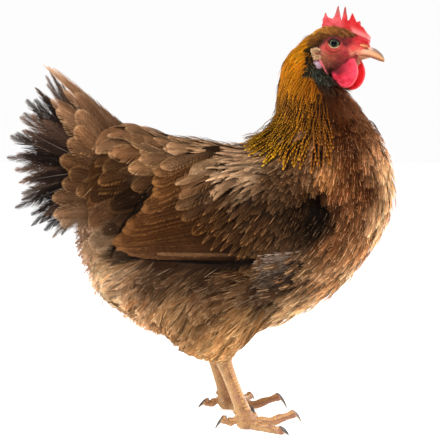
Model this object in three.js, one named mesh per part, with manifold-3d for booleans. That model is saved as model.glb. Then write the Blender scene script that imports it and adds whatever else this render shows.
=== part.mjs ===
// A life-size brown hen, standing still with its head turned a little to its right.
// Millimetres. +X runs towards the bill, +Y to the bird's left, +Z up. The origin is on the floor, under the
// middle of the bird's bounding box. In the tables Y is measured from the bird's own middle plane, and the whole
// bird is moved at the end. Each part of the body is one closed solid, and a thin gap parts it from what it
// grows from.
import * as THREE from "three";
import { mergeVertices } from "three/addons/utils/BufferGeometryUtils.js";
import Module from "manifold-3d";

const wasm = await Module();
wasm.setup();

// ---------------------------------------------------------------- driving sizes
const MIDDLE_Y = -5.5; // the bird's middle plane: its left foot stands further out than its right
const GAP = 0.4; // between two parts that touch
const RIGHT = -1; // the bird's right is the -Y side
const LEFT = 1;
const SIDES = [
  { name: "right", side: RIGHT },
  { name: "left", side: LEFT },
];

// Body and neck in one run of sections, from the rump round the breast and up to the throat. Each section is
// a rounded oval across the body, from a point on the back to a point on the belly or breast:
// [back x, back z, front x, front z, half width, where it is widest from back to front, fullness]
const BODY = [
  [-119, 214, -121, 177, 12, 0.5, 2.0],
  [-112, 247, -110, 147, 35, 0.5, 2.1],
  [-98, 290, -97, 119, 52, 0.52, 2.2],
  [-73, 298, -69, 99, 63, 0.52, 2.2],
  [-38, 289, -38, 83, 71, 0.52, 2.2],
  [-2, 284.5, 0, 79, 76, 0.52, 2.2],
  [25, 279.5, 42, 84, 77, 0.51, 2.2],
  [42, 280, 85, 99, 76, 0.5, 2.2],
  [50, 283, 131, 126, 73, 0.5, 2.2],
  [56, 287, 167.5, 167, 68, 0.5, 2.1],
  [60, 291, 187.5, 205, 62, 0.48, 2.1],
  [64, 297, 191, 240, 55, 0.46, 2.0],
  [69, 306, 181, 274.5, 47, 0.45, 2.0],
  [70.5, 320, 164, 304, 39, 0.44, 2.0],
  [73.5, 338, 147, 324, 32, 0.44, 2.0],
  [79.5, 360, 129, 334, 23, 0.45, 2.0],
  [96, 378, 121, 351, 12, 0.5, 2.0],
];
const BODY_RINGS = 33;
const BODY_SIDES = 24;
const NECK_BASE = 11.4; // the section where neck and body part

// The head in its own frame, x from the axis it turns on towards the bill.
const HEAD_PIVOT_X = 118;
const HEAD_TURN = THREE.MathUtils.degToRad(-20);
const HEAD = [
  [-20, 380.5, -16, 350, 10, 0.5, 2.0],
  [-12, 386, -10, 346, 14, 0.5, 2.1],
  [-1, 390.5, 0, 344, 16, 0.5, 2.2],
  [12, 391.5, 12, 345, 16.3, 0.48, 2.3],
  [24, 389, 23, 348.5, 15, 0.48, 2.3],
  [34, 384, 32, 354, 11, 0.5, 2.2],
  [41, 379.5, 38, 358.5, 7, 0.5, 2.1],
  [47, 375, 43, 362, 4, 0.5, 2.0],
  [49, 372.5, 45, 365, 2, 0.5, 2.0],
];
const BEAK_UPPER = [
  [33, 368, 33, 362.6, 6.2, 0.6, 2.0],
  [40, 372.5, 40, 362.4, 7.2, 0.65, 2.0],
  [47, 374, 47, 362.4, 7.0, 0.65, 2.0],
  [52, 372, 51.5, 362, 5.8, 0.6, 2.0],
  [57, 368.4, 55.5, 360.4, 4.2, 0.55, 2.0],
  [61.3, 362.8, 59.5, 357.8, 2.5, 0.5, 2.0],
  [63.8, 357.2, 62.4, 355.8, 0.9, 0.5, 2.0],
];
const BEAK_LOWER = [
  [33, 361.9, 33, 357.4, 5.6, 0.3, 2.0],
  [40, 361.7, 40, 357.2, 6.0, 0.3, 2.0],
  [46, 361.5, 46, 357.8, 5.2, 0.3, 2.0],
  [51, 361.1, 50, 359.2, 3.6, 0.35, 2.0],
  [53.4, 360.6, 52.8, 359.8, 1.6, 0.4, 2.0],
];
const EYE = { x: 18, z: 374.4, radius: 6.2, proud: 1.8 };
const LID = { radius: 5.7, thick: 1.0 };
const NOSTRIL = { x: 45.5, z: 369.4, long: 2.6, high: 0.9 };
const EAR_TUFT = { x: -2, z: 367, long: 6, high: 4.6, proud: 2.6 };
const EARLOBE = { x: -1, z: 354, long: 5.8, high: 6.2, proud: 3 };
const EAR_FOLD = { x: 4.6, top: 359, bottom: 343, radius: 2 };
const WATTLE = { x: 26.6, y: 9.2, z: 345.4, long: 15.4, high: 16.6, thick: 2.7 };

// The comb's points from back to front: [x, z of its tip, x and z of the notch behind it]
const COMB_POINTS = [
  [-3.5, 398, -5.5, 391.5],
  [3, 406, -0.5, 399],
  [16.2, 412.6, 10, 400],
  [24.2, 411.8, 20.8, 398],
  [32.2, 405, 28.6, 395.5],
  [39.4, 398, 36.6, 394.5],
];
const COMB_FRONT = [
  [42.6, 391],
  [48.2, 384],
  [49.6, 378],
  [47.5, 374.5],
];
const COMB_THICK = 5;
const COMB_TIP_SHARE = 0.34; // of the thickness at the root
const COMB_WAVE = 1.3;

// Legs. Hock and foot are where each leg's joints stand; the left foot is a little behind the right. The toes
// are numbered from the hind toe, and each stands at its own angle from straight ahead, inwards positive, with
// its end lifted off the floor by its own height.
const LEGS = [
  {
    name: "right",
    side: RIGHT,
    hock: { x: 16, y: 40, z: 73 },
    foot: { x: 40, y: 50 },
    toes: [190, 74, 26, -40],
    lifts: [5.5, 1.5, 5.5, 0],
  },
  {
    name: "left",
    side: LEFT,
    hock: { x: 4, y: 42, z: 73 },
    foot: { x: 22.5, y: 51 },
    toes: [182, 50, 1, -56],
    lifts: [3, 1.5, 8.5, 3],
  },
];
const ANKLE_Z = 12;
// Thigh sections on the right leg, the hip end first. The last columns hold the distance from the middle plane.
const THIGH = [
  [-50, 152, 66, 166, 30, 0.5, 2.1, 36],
  [-46, 105, 65, 114, 31, 0.5, 2.1, 40],
  [-32, 85, 50, 91, 26, 0.5, 2.1, 42],
  [-15, 73, 36, 79, 18, 0.5, 2.0, 41],
  [2, 68, 30, 69.5, 11.5, 0.5, 2.0, 40],
  [8, 62, 24, 63, 7.5, 0.5, 2.0, 40],
];
// Along the shank from hock to ankle: [share of the way, radius front to back, half width]
const SHANK = [
  [-0.05, 7, 5.6],
  [0.12, 7.6, 6],
  [0.3, 6.7, 5],
  [0.6, 6.3, 4.8],
  [0.85, 7, 5.4],
  [1, 8.4, 7.4],
];
const SHANK_SCUTES = 10;
const SCUTE_RISE = 0.45;
const PAD = { radius: 10.6, high: 8.6, z: 6.8, forward: 2 };
// Toes from the hind one: length, radius at root and tip, and height of the root's middle
const TOES = [
  { length: 21, root: 4.4, tip: 3.6, height: 14 },
  { length: 38, root: 4.6, tip: 3.6, height: 4.6 },
  { length: 55, root: 4.9, tip: 3.8, height: 4.6 },
  { length: 46, root: 4.8, tip: 3.8, height: 4.6 },
];
const CLAW = { long: 11, radius: 2.6, tip: 0.45 };

// Wing: a plate over the folded arm, and tiers of feathers that lie on it and reach past it. Its outline points
// go round from the bend of the wing over its top.
const WING_MIDDLE = [15, 208];
const WING_PLATE = [
  [112, 217],
  [101, 235],
  [70, 245],
  [24, 252],
  [-20, 247],
  [-48, 228],
  [-58, 196],
  [-42, 172],
  [0, 164],
  [54, 162],
  [92, 175],
  [109, 197],
];
const WING_PROUD = 6; // how far its middle stands out of the flank
const WING_RIM = 1.4;
// Tiers from the lowest layer outwards. Each holds its first and last feather, the lowest one first:
// [tip x, tip z, angle of the quill above level, length, half width]
const WING_TIERS = [
  { name: "primary", count: 4, lift: 1.3, tilt: 0.11, first: [-50, 164, 1, 96, 5], last: [-88, 178, 2, 128, 6.5] },
  { name: "secondary", count: 7, lift: 2.6, tilt: 0.13, first: [-86, 185, 4, 108, 7], last: [-58, 236, 9, 84, 8] },
  { name: "greater_covert", count: 4, lift: 4.5, tilt: 0, first: [-14, 184, 8, 46, 7.6], last: [-24, 236, 18, 42, 7.6] },
  { name: "median_covert", count: 5, lift: 4.5, tilt: 0, first: [34, 182, 18, 34, 6.2], last: [18, 238, 28, 32, 6] },
];
const VANE_THICK = 0.8;
const TAIL_TILT = 0.13;

// Tail: the feathers fan from a root in the rump, in two leaves that lean together like a tent.
// [angle from +X in degrees, length, half width]
const TAIL_ROOT = [-85, 250];
const TAIL_FAN = [
  [131, 111, 9],
  [139.5, 115, 10.5],
  [152, 110, 11.5],
  [163.5, 109, 12],
  [174.5, 102, 12],
  [185.5, 98, 12],
  [197.5, 102, 12],
  [208.5, 95, 11],
  [220, 92, 10],
];
const TAIL_COVERTS = [
  [144, 78, 10],
  [163, 74, 11],
  [183, 70, 11],
  [203, 66, 11],
];
// Long narrow coverts along the tail's upper edge: [root x, root z, tip x, tip z, half width]
const TAIL_TOP_COVERTS = [
  [-62, 281, -161, 354, 4.5],
  [-66, 282, -148, 345, 6],
  [-72, 272, -127, 331, 8],
];
const TAIL_UNDER_COVERTS = [
  [-100, 214, -157, 195, 6],
];
const TAIL_TOP_ANGLE = 104;
const TAIL_LOW_ANGLE = 232;
const TAIL_SPLAY = { top: 2, low: 14 }; // degrees away from the middle plane
const TAIL_CORE = { top: 52, low: 66 }; // how far the root reaches

// Hackle: narrow pointed feathers that hang from the neck over the shoulders, in tiers.
const HACKLE_SPREAD = 122; // degrees either side of the nape
const HACKLE_TIERS = [
  { count: 11, root: 12.9, rise: 0, lift: 1.2 },
  { count: 8, root: 14.0, rise: 2.1, lift: 2.9 },
  { count: 7, root: 15.0, rise: 3.7, lift: 4.5 },
];
const HACKLE_HEM = { nape: 7.8, side: 11.6 }; // the sections that the lowest tips reach
const HACKLE_HALF_WIDTH = 7.5;
const HACKLE_TILT = 0.04;

// ---------------------------------------------------------------- solids
/** The value at t of a smooth curve through values, one for each whole t. */
function spline(values, t) {
  const last = values.length - 1;
  const i = Math.min(Math.max(Math.floor(t), 0), last - 1);
  const f = t - i;
  const b = values[i];
  const c = values[i + 1];
  const a = i > 0 ? values[i - 1] : 2 * b - c;
  const d = i + 2 <= last ? values[i + 2] : 2 * c - b;
  return b + 0.5 * f * (c - a + f * (2 * a - 5 * b + 4 * c - d + f * (3 * (b - c) + d - a)));
}

/** All columns of a table of sections at t. */
function sectionAt(table, t) {
  return table[0].map((_, column) => spline(table.map((row) => row[column]), t));
}

/** A point on the section at t, with angle 0 on the back and 90 degrees on the +Y side. */
function sectionPoint(table, t, angle, grow = 0) {
  const [backX, backZ, frontX, frontZ, half, widest, fullness, middleY = 0] = sectionAt(table, t);
  const span = Math.hypot(frontX - backX, frontZ - backZ);
  const cos = Math.cos(angle);
  const sin = Math.sin(angle);
  const fall = Math.abs(cos) ** (2 / fullness);
  const share = cos > 0 ? widest * (1 - fall) : widest + (1 - widest) * fall;
  const y = half * Math.sign(sin) * Math.abs(sin) ** (2 / fullness);
  const outX = ((share - 0.5) * 2 * grow * (frontX - backX)) / span;
  const outZ = ((share - 0.5) * 2 * grow * (frontZ - backZ)) / span;
  return new THREE.Vector3(
    backX + share * (frontX - backX) + outX,
    middleY + y + (grow * y) / half,
    backZ + share * (frontZ - backZ) + outZ,
  );
}

/** A geometry's shape as a solid, its faces pointing out. */
function solidOf(geometry) {
  const bare = new THREE.BufferGeometry();
  bare.setAttribute("position", geometry.getAttribute("position"));
  bare.setIndex(geometry.index);
  const merged = mergeVertices(bare, 1e-4);
  const corners = merged.index.array;
  const triangles = [];
  for (let i = 0; i < corners.length; i += 3) {
    const [a, b, c] = corners.slice(i, i + 3);
    if (a !== b && b !== c && c !== a) triangles.push([a, b, c]);
  }
  const made = (list) =>
    new wasm.Manifold(
      new wasm.Mesh({
        numProp: 3,
        vertProperties: merged.attributes.position.array,
        triVerts: new Uint32Array(list.flat()),
      }),
    );
  const solid = made(triangles);
  return solid.volume() > 0 ? solid : made(triangles.map(([a, b, c]) => [a, c, b]));
}

/** The closed solid through rings of points, each end closed by a fan from its first point. */
function skinned(rings) {
  const sides = rings[0].length;
  const index = [];
  for (let r = 0; r + 1 < rings.length; r++)
    for (let i = 0; i < sides; i++) {
      const a = r * sides + i;
      const b = r * sides + ((i + 1) % sides);
      index.push(a, b, b + sides, a, b + sides, a + sides);
    }
  const last = (rings.length - 1) * sides;
  for (let i = 1; i + 1 < sides; i++) {
    index.push(0, i + 1, i);
    index.push(last, last + i, last + i + 1);
  }
  const geometry = new THREE.BufferGeometry().setFromPoints(rings.flat());
  geometry.setIndex(index);
  return solidOf(geometry);
}

/** A solid through a table's sections, at the values of t given, with relief added outwards. */
function tube(table, stops, sides, grow = 0, relief = () => 0) {
  const rings = stops.map((t) =>
    Array.from({ length: sides }, (_, i) => {
      const angle = (2 * Math.PI * i) / sides;
      return sectionPoint(table, t, angle, grow + relief(t, angle));
    }),
  );
  if (grow > 0) {
    lengthen(rings[0], rings[1], grow);
    lengthen(rings[rings.length - 1], rings[rings.length - 2], grow);
  }
  return skinned(rings);
}

/** Moves an end ring out, away from its neighbour. */
function lengthen(ring, neighbour, distance) {
  const middle = (points) =>
    points.reduce((sum, p) => sum.add(p), new THREE.Vector3()).divideScalar(points.length);
  const out = middle(ring).sub(middle(neighbour)).setLength(distance);
  ring.forEach((p) => p.add(out));
}

/** Evenly spaced stops from first to last. */
function stopsFrom(first, last, count) {
  return Array.from({ length: count }, (_, i) => first + ((last - first) * i) / (count - 1));
}

function evenTube(table, rings, sides, grow = 0) {
  return tube(table, stopsFrom(0, table.length - 1, rings), sides, grow);
}

/** An egg-shaped solid: a sphere scaled along each axis. */
function egg(centre, radii, across = 14, high = 9) {
  const ball = new THREE.SphereGeometry(1, across, high).scale(...radii).translate(...centre);
  return solidOf(ball);
}

function without(solid, ...others) {
  return others.reduce((left, other) => left.subtract(other), solid);
}

/** The largest closed surface of a solid, which leaves out sealed hollows and loose scraps. */
function largestOf(solid) {
  return solid.decompose().reduce((a, b) => (b.volume() > a.volume() ? b : a));
}

/** A vane: a thin blade, v from -1 at one edge to 1 at the other, with its root and tip at u 0 and 1. */
function vane(place, halfWidth) {
  const shape = [
    [0, 0.45],
    [0.32, 1],
    [0.8, 0.88],
    [1, 0.25],
  ];
  return skinned(
    shape.map(([u, share]) => {
      const reach = share * halfWidth;
      const edges = [place(u, -reach), place(u, reach)];
      const along = place(u + 0.02, 0).sub(place(u - 0.02, 0));
      const face = along.cross(edges[1].clone().sub(edges[0])).setLength(VANE_THICK / 2);
      return [
        edges[0].clone().add(face),
        edges[1].clone().add(face),
        edges[1].clone().sub(face),
        edges[0].clone().sub(face),
      ];
    }),
  );
}

const mixRows = (first, last, share) => first.map((value, i) => THREE.MathUtils.lerp(value, last[i], share));

function geometryOf(solid) {
  const mesh = largestOf(solid).getMesh();
  const points = new Float32Array(mesh.numVert * 3);
  for (let i = 0; i < mesh.numVert; i++)
    for (let axis = 0; axis < 3; axis++)
      points[3 * i + axis] = mesh.vertProperties[mesh.numProp * i + axis];
  const geometry = new THREE.BufferGeometry();
  geometry.setAttribute("position", new THREE.BufferAttribute(points, 3));
  geometry.setIndex(new THREE.BufferAttribute(mesh.triVerts, 1));
  geometry.computeVertexNormals();
  return geometry;
}

// ---------------------------------------------------------------- materials
const finish = (color, roughness) => new THREE.MeshStandardMaterial({ color, roughness, metalness: 0 });
const BROWN_FEATHER = finish(0x7a4f32, 0.75);
const GOLD_FEATHER = finish(0xa87420, 0.65);
const BLACK_FEATHER = finish(0x2b2522, 0.6);
const FLUFF = finish(0x8a6b50, 0.9);
const RED_SKIN = finish(0xc22a2c, 0.5);
const PALE_SKIN = finish(0xb9a0a4, 0.6);
const FACE = finish(0xa8443c, 0.6);
const HORN = finish(0xc99a68, 0.4);
const SCUTE = finish(0xc79a5a, 0.55);
const CLAW_HORN = finish(0x4a3f38, 0.4);
const EYE_GLOSS = finish(0x2a1c10, 0.1);

function part(name, solid, material) {
  const mesh = new THREE.Mesh(geometryOf(solid), material);
  mesh.name = name;
  return mesh;
}

// ---------------------------------------------------------------- body and neck
const bodyStops = stopsFrom(0, BODY.length - 1, BODY_RINGS);
const wholeBody = (grow = 0) => tube(BODY, bodyStops, BODY_SIDES, grow);

/** The plane of the section where neck and body part, as a normal towards the neck and its distance. */
function neckPlane() {
  const [backX, backZ, frontX, frontZ] = sectionAt(BODY, NECK_BASE);
  const normal = new THREE.Vector3(backZ - frontZ, 0, frontX - backX).normalize();
  return { normal: normal.toArray(), distance: normal.dot(new THREE.Vector3(backX, 0, backZ)) };
}

/** Half the body's width at a place in the side view. */
function flankAt(x, z) {
  const crosses = (t) => {
    const [backX, backZ, frontX, frontZ] = sectionAt(BODY, t);
    return (frontX - backX) * (z - backZ) - (frontZ - backZ) * (x - backX);
  };
  let low = 0;
  let high = NECK_BASE;
  for (let i = 0; i < 24; i++) {
    const middle = (low + high) / 2;
    if (crosses(middle) > 0) low = middle;
    else high = middle;
  }
  const [backX, backZ, frontX, frontZ, half, widest, fullness] = sectionAt(BODY, low);
  const along = (x - backX) * (frontX - backX) + (z - backZ) * (frontZ - backZ);
  const share = along / ((frontX - backX) ** 2 + (frontZ - backZ) ** 2);
  const off = share < widest ? 1 - share / widest : (share - widest) / (1 - widest);
  const cos = THREE.MathUtils.clamp(off, 0, 1) ** (fullness / 2);
  return half * (1 - cos * cos) ** (1 / fullness);
}

// ---------------------------------------------------------------- head
const inHead = (solid) =>
  solid.rotate([0, 0, THREE.MathUtils.radToDeg(HEAD_TURN)]).translate([HEAD_PIVOT_X, 0, 0]);
const outOfHead = (solid) =>
  solid.translate([-HEAD_PIVOT_X, 0, 0]).rotate([0, 0, -THREE.MathUtils.radToDeg(HEAD_TURN)]);

/** Half the head's width at a place in its side view. */
function cheekAt(x, z) {
  const t = HEAD.findIndex((row) => row[0] >= x) || 1;
  const before = HEAD[t - 1];
  const place = t - 1 + (x - before[0]) / (HEAD[t][0] - before[0]);
  const [, backZ, , frontZ, half, widest, fullness] = sectionAt(HEAD, place);
  const share = (backZ - z) / (backZ - frontZ);
  const off = share < widest ? 1 - share / widest : (share - widest) / (1 - widest);
  const cos = THREE.MathUtils.clamp(off, 0, 1) ** (fullness / 2);
  return half * (1 - cos * cos) ** (1 / fullness);
}

const skull = (grow = 0) => evenTube(HEAD, 15, 16, grow);
const eyeY = cheekAt(EYE.x, EYE.z) + EYE.proud - EYE.radius;

function lidRing(side) {
  const ring = new THREE.TorusGeometry(LID.radius, LID.thick, 4, 12);
  ring.rotateX(Math.PI / 2).translate(EYE.x, side * (cheekAt(EYE.x, EYE.z) - 0.1), EYE.z);
  return solidOf(ring);
}

function earTuft(side, grow = 0) {
  const middle = [EAR_TUFT.x, side * (cheekAt(EAR_TUFT.x, EAR_TUFT.z) - 1), EAR_TUFT.z];
  const radii = [EAR_TUFT.long, EAR_TUFT.proud, EAR_TUFT.high].map((radius) => radius + 1.3 * grow);
  return egg(middle, radii, 8, 5);
}

/** The bare face with its lids and ear tufts, and the eye sockets cut in. */
function headSolid() {
  let head = skull();
  for (const { side } of SIDES) head = head.add(earTuft(side)).add(lidRing(side));
  for (const { side } of SIDES) {
    const socket = EYE.radius + GAP;
    head = head.subtract(egg([EYE.x, side * eyeY, EYE.z], [socket, socket, socket], 12, 6));
  }
  return head;
}

const eyeball = (side) =>
  egg([EYE.x, side * eyeY, EYE.z], [EYE.radius, EYE.radius, EYE.radius], 12, 6);

function beakUpperSolid(grow = 0) {
  const beak = evenTube(BEAK_UPPER, 10, 10, grow);
  if (grow > 0) return beak;
  const nostrils = SIDES.map(({ side }) =>
    egg([NOSTRIL.x, side * 6.9, NOSTRIL.z], [NOSTRIL.long, 1.4, NOSTRIL.high], 6, 4),
  );
  return without(beak, skull(2 * GAP), ...nostrils);
}

const beakLowerSolid = () =>
  without(evenTube(BEAK_LOWER, 7, 10), skull(2 * GAP), beakUpperSolid(2 * GAP));

/** The comb's blade in the head's middle plane, thick at its root and thin at its points. */
function combSolid() {
  const outline = new THREE.Shape();
  const [firstTip] = COMB_POINTS;
  outline.moveTo(firstTip[0] + 1, 384);
  COMB_POINTS.forEach(([tipX, tipZ, notchX, notchZ]) => {
    outline.lineTo(notchX, notchZ);
    outline.quadraticCurveTo(tipX - 0.9, (tipZ + notchZ) / 2, tipX, tipZ);
  });
  COMB_FRONT.forEach(([x, z]) => outline.lineTo(x, z));
  outline.lineTo(40, 370);
  const bevel = 0.9;
  const blade = new THREE.ExtrudeGeometry(outline, {
    depth: COMB_THICK - 2 * bevel,
    bevelThickness: bevel,
    bevelSize: bevel,
    bevelOffset: -bevel,
    bevelSegments: 1,
    curveSegments: 3,
  });
  blade.rotateX(Math.PI / 2).translate(0, COMB_THICK / 2 - bevel, 0);
  const places = blade.getAttribute("position");
  for (let i = 0; i < places.count; i++) {
    const z = places.getZ(i);
    const rise = THREE.MathUtils.smoothstep(z, 388, 410);
    const wave = COMB_WAVE * Math.sin(places.getX(i) / 7) * rise;
    places.setY(i, places.getY(i) * THREE.MathUtils.lerp(1, COMB_TIP_SHARE, rise) + wave);
  }
  return without(solidOf(blade), skull(GAP), beakUpperSolid(GAP));
}

/** A wattle, a flat lobe that hangs from the jaw and is narrower at its root. */
function wattleSolid(side) {
  const lobe = new THREE.SphereGeometry(1, 13, 8);
  lobe.rotateX(Math.PI / 2).scale(WATTLE.long, WATTLE.thick, WATTLE.high);
  const places = lobe.getAttribute("position");
  for (let i = 0; i < places.count; i++) {
    const rise = places.getZ(i) / WATTLE.high;
    const narrow = 1 - 0.32 * Math.max(rise, 0);
    const cup = 1.6 * (places.getX(i) / WATTLE.long) ** 2;
    places.setX(i, places.getX(i) * narrow + 4 * Math.max(rise, 0));
    places.setY(i, side * (places.getY(i) - cup));
  }
  lobe.translate(WATTLE.x, side * WATTLE.y, WATTLE.z);
  return without(solidOf(lobe), skull(GAP), evenTube(BEAK_LOWER, 9, 12, GAP), outOfHead(wholeBody(GAP)));
}

/** The earlobe with the fold of skin in front of it. */
function earlobeSolid(side, grow = 0) {
  const lobeY = side * (cheekAt(EARLOBE.x, EARLOBE.z) - 0.2);
  const lobeRadii = [EARLOBE.long, EARLOBE.proud, EARLOBE.high].map((radius) => radius + 1.3 * grow);
  const lobe = egg([EARLOBE.x, lobeY, EARLOBE.z], lobeRadii, 8, 6);
  const foldMiddle = (EAR_FOLD.top + EAR_FOLD.bottom) / 2;
  const foldY = side * (cheekAt(EAR_FOLD.x, foldMiddle) + 0.3);
  const foldRadii = [EAR_FOLD.radius, EAR_FOLD.radius, (EAR_FOLD.top - EAR_FOLD.bottom) / 2];
  const fold = egg([EAR_FOLD.x, foldY, foldMiddle], foldRadii.map((radius) => radius + 1.3 * grow), 6, 6);
  return grow > 0 ? lobe.add(fold) : without(lobe.add(fold), skull(GAP));
}

// ---------------------------------------------------------------- wings
const PLATE_EDGE = WING_PLATE.map(([x, z]) => {
  const bearing = Math.atan2(z - WING_MIDDLE[1], x - WING_MIDDLE[0]);
  return [(bearing + 2 * Math.PI) % (2 * Math.PI), Math.hypot(x - WING_MIDDLE[0], z - WING_MIDDLE[1])];
}).sort((a, b) => a[0] - b[0]);

/** The distance from the wing's middle to its plate's edge in a direction. */
function plateReach(bearing) {
  const count = PLATE_EDGE.length;
  const after = PLATE_EDGE.findIndex(([turn]) => turn > bearing);
  const next = PLATE_EDGE[after < 0 ? 0 : after];
  const last = PLATE_EDGE[((after < 0 ? count : after) - 1 + count) % count];
  const full = 2 * Math.PI;
  const share = ((bearing - last[0] + full) % full) / ((next[0] - last[0] + full) % full);
  return THREE.MathUtils.lerp(last[1], next[1], share);
}

/** How far the plate stands out of the flank at a share of the way to its edge. */
const plateProud = (share) => WING_RIM + (WING_PROUD - WING_RIM) * (1 - Math.min(share, 1) ** 3);

function proudAt(x, z) {
  const bearing = Math.atan2(z - WING_MIDDLE[1], x - WING_MIDDLE[0]);
  const reach = plateReach((bearing + 2 * Math.PI) % (2 * Math.PI));
  const share = Math.hypot(x - WING_MIDDLE[0], z - WING_MIDDLE[1]) / reach;
  return plateProud(share) * THREE.MathUtils.smoothstep(1.5 - share, 0, 0.5);
}

function wingPlate(side) {
  const sectors = 26;
  const bands = [0.3, 0.65, 0.9, 1];
  const ringAt = (share, out) =>
    Array.from({ length: sectors }, (_, sector) => {
      const bearing = (2 * Math.PI * sector) / sectors;
      const x = WING_MIDDLE[0] + share * plateReach(bearing) * Math.cos(bearing);
      const z = WING_MIDDLE[1] + share * plateReach(bearing) * Math.sin(bearing);
      return new THREE.Vector3(x, side * (flankAt(x, z) + out), z);
    });
  const outer = bands.map((share) => ringAt(share, plateProud(share)));
  const inner = [0.98, 0.5].map((share) => ringAt(share, -5));
  return skinned([...outer, ...inner]);
}

/** One wing feather on the flank, its quill sunk in the plate. */
function wingFeather(side, [tipX, tipZ, angle, length, halfWidth], lift, tilt) {
  const slope = THREE.MathUtils.degToRad(angle);
  const forward = [Math.cos(slope), Math.sin(slope)];
  const place = (u, v) => {
    const back = length * (1 - u);
    const x = tipX + forward[0] * back + forward[1] * v;
    const z = tipZ + forward[1] * back - forward[0] * v;
    const rise = THREE.MathUtils.lerp(-lift - 1.2, lift, THREE.MathUtils.smoothstep(u, 0, 0.3));
    return new THREE.Vector3(x, side * (flankAt(x, z) + proudAt(x, z) + rise + tilt * v), z);
  };
  return vane(place, halfWidth);
}

function wingSolid(side) {
  const feathers = WING_TIERS.flatMap(({ count, lift, tilt, first, last }) =>
    stopsFrom(0, 1, count).map((share) => wingFeather(side, mixRows(first, last, share), lift, tilt)),
  );
  return wasm.Manifold.union([wingPlate(side), ...feathers]).subtract(wholeBody(GAP));
}

// ---------------------------------------------------------------- tail
/** How far the tail's leaf is from the middle plane at a place given by angle and distance from its root. */
function tailSpread(degrees, reach) {
  const low = THREE.MathUtils.clamp(
    (degrees - TAIL_TOP_ANGLE) / (TAIL_LOW_ANGLE - TAIL_TOP_ANGLE),
    0,
    1,
  );
  const splay = THREE.MathUtils.degToRad(THREE.MathUtils.lerp(TAIL_SPLAY.top, TAIL_SPLAY.low, low));
  return 4 + 9 * low + reach * Math.sin(splay);
}

const tailPoint = (side, degrees, reach, out) => {
  const angle = THREE.MathUtils.degToRad(degrees);
  return new THREE.Vector3(
    TAIL_ROOT[0] + reach * Math.cos(angle),
    side * (tailSpread(degrees, reach) + out),
    TAIL_ROOT[1] + reach * Math.sin(angle),
  );
};

/** The fleshy root that joins all the tail's quills. */
function tailCore() {
  const angles = stopsFrom(TAIL_TOP_ANGLE, TAIL_LOW_ANGLE, 9);
  const ringAt = (share, out) => {
    const row = angles.map((degrees, i) => {
      const reach = share * THREE.MathUtils.lerp(TAIL_CORE.top, TAIL_CORE.low, i / (angles.length - 1));
      return [degrees, reach, out];
    });
    return [
      ...row.map((place) => tailPoint(RIGHT, ...place)),
      ...row.toReversed().map((place) => tailPoint(LEFT, ...place)),
    ];
  };
  return skinned([ringAt(0.25, 3), ringAt(0.75, 2.5), ringAt(1, -2)]);
}

function tailFeather(side, [degrees, length, halfWidth], out) {
  const angle = THREE.MathUtils.degToRad(degrees);
  const place = (u, v) => {
    const reach = THREE.MathUtils.lerp(TAIL_CORE.top - 14, length, u);
    const x = reach * Math.cos(angle) - v * Math.sin(angle);
    const z = reach * Math.sin(angle) + v * Math.cos(angle);
    const bearing = (THREE.MathUtils.radToDeg(Math.atan2(z, x)) + 360) % 360;
    return tailPoint(side, bearing, Math.hypot(x, z), out + TAIL_TILT * v);
  };
  return vane(place, halfWidth);
}

function tailTopCovert(side, [rootX, rootZ, tipX, tipZ, halfWidth], order) {
  const length = Math.hypot(tipX - rootX, tipZ - rootZ);
  const across = [(rootZ - tipZ) / length, (tipX - rootX) / length];
  const place = (u, v) => {
    const arch = 7 * Math.sin(Math.PI * u);
    const x = THREE.MathUtils.lerp(rootX, tipX, u) + across[0] * (v + arch);
    const z = THREE.MathUtils.lerp(rootZ, tipZ, u) + across[1] * (v + arch);
    return new THREE.Vector3(x, side * (5 + 1.2 * order - 2.5 * u + 0.3 * Math.max(v, 0)), z);
  };
  return vane(place, halfWidth);
}

/** A covert below the fan, under the rump. */
function tailUnderCovert(side, [rootX, rootZ, tipX, tipZ, halfWidth], order) {
  const place = (u, v) => {
    const x = THREE.MathUtils.lerp(rootX, tipX, u);
    const z = THREE.MathUtils.lerp(rootZ, tipZ, u) - v;
    return new THREE.Vector3(x, side * (10 - 3 * order + 12 * u * (1 - 0.4 * u)), z);
  };
  return vane(place, halfWidth);
}

function tailSolid() {
  const feathers = SIDES.flatMap(({ side }) => [
    ...TAIL_FAN.map((row) => tailFeather(side, row, 0)),
    ...TAIL_COVERTS.map((row) => tailFeather(side, row, 2)),
    ...TAIL_TOP_COVERTS.map((row, order) => tailTopCovert(side, row, order)),
    ...TAIL_UNDER_COVERTS.map((row, order) => tailUnderCovert(side, row, order)),
  ]);
  return wasm.Manifold.union([tailCore(), ...feathers]).subtract(wholeBody(GAP));
}

// ---------------------------------------------------------------- hackle
/** A hackle feather down the neck from section root to section tip, at an angle from the nape. */
function hackleFeather(root, tip, degrees, lift) {
  const angle = THREE.MathUtils.degToRad(degrees);
  const place = (u, v) => {
    const t = THREE.MathUtils.lerp(root, tip, u);
    const half = sectionAt(BODY, t)[4];
    const out = THREE.MathUtils.lerp(-2.5, lift, THREE.MathUtils.smoothstep(u, 0, 0.35));
    return sectionPoint(BODY, t, angle + v / half, out + HACKLE_TILT * v * Math.sign(degrees));
  };
  return vane(place, HACKLE_HALF_WIDTH);
}

function hackle() {
  return HACKLE_TIERS.flatMap(({ count, root, rise, lift }) =>
    stopsFrom(-HACKLE_SPREAD, HACKLE_SPREAD, count).map((degrees) => {
      const around = Math.abs(degrees) / HACKLE_SPREAD;
      const hem = THREE.MathUtils.lerp(HACKLE_HEM.nape, HACKLE_HEM.side, around ** 1.2);
      const tip = Math.min(hem + rise * (1 - 0.45 * around), root - 1.1);
      return hackleFeather(root, tip, degrees, lift);
    }),
  );
}

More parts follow.
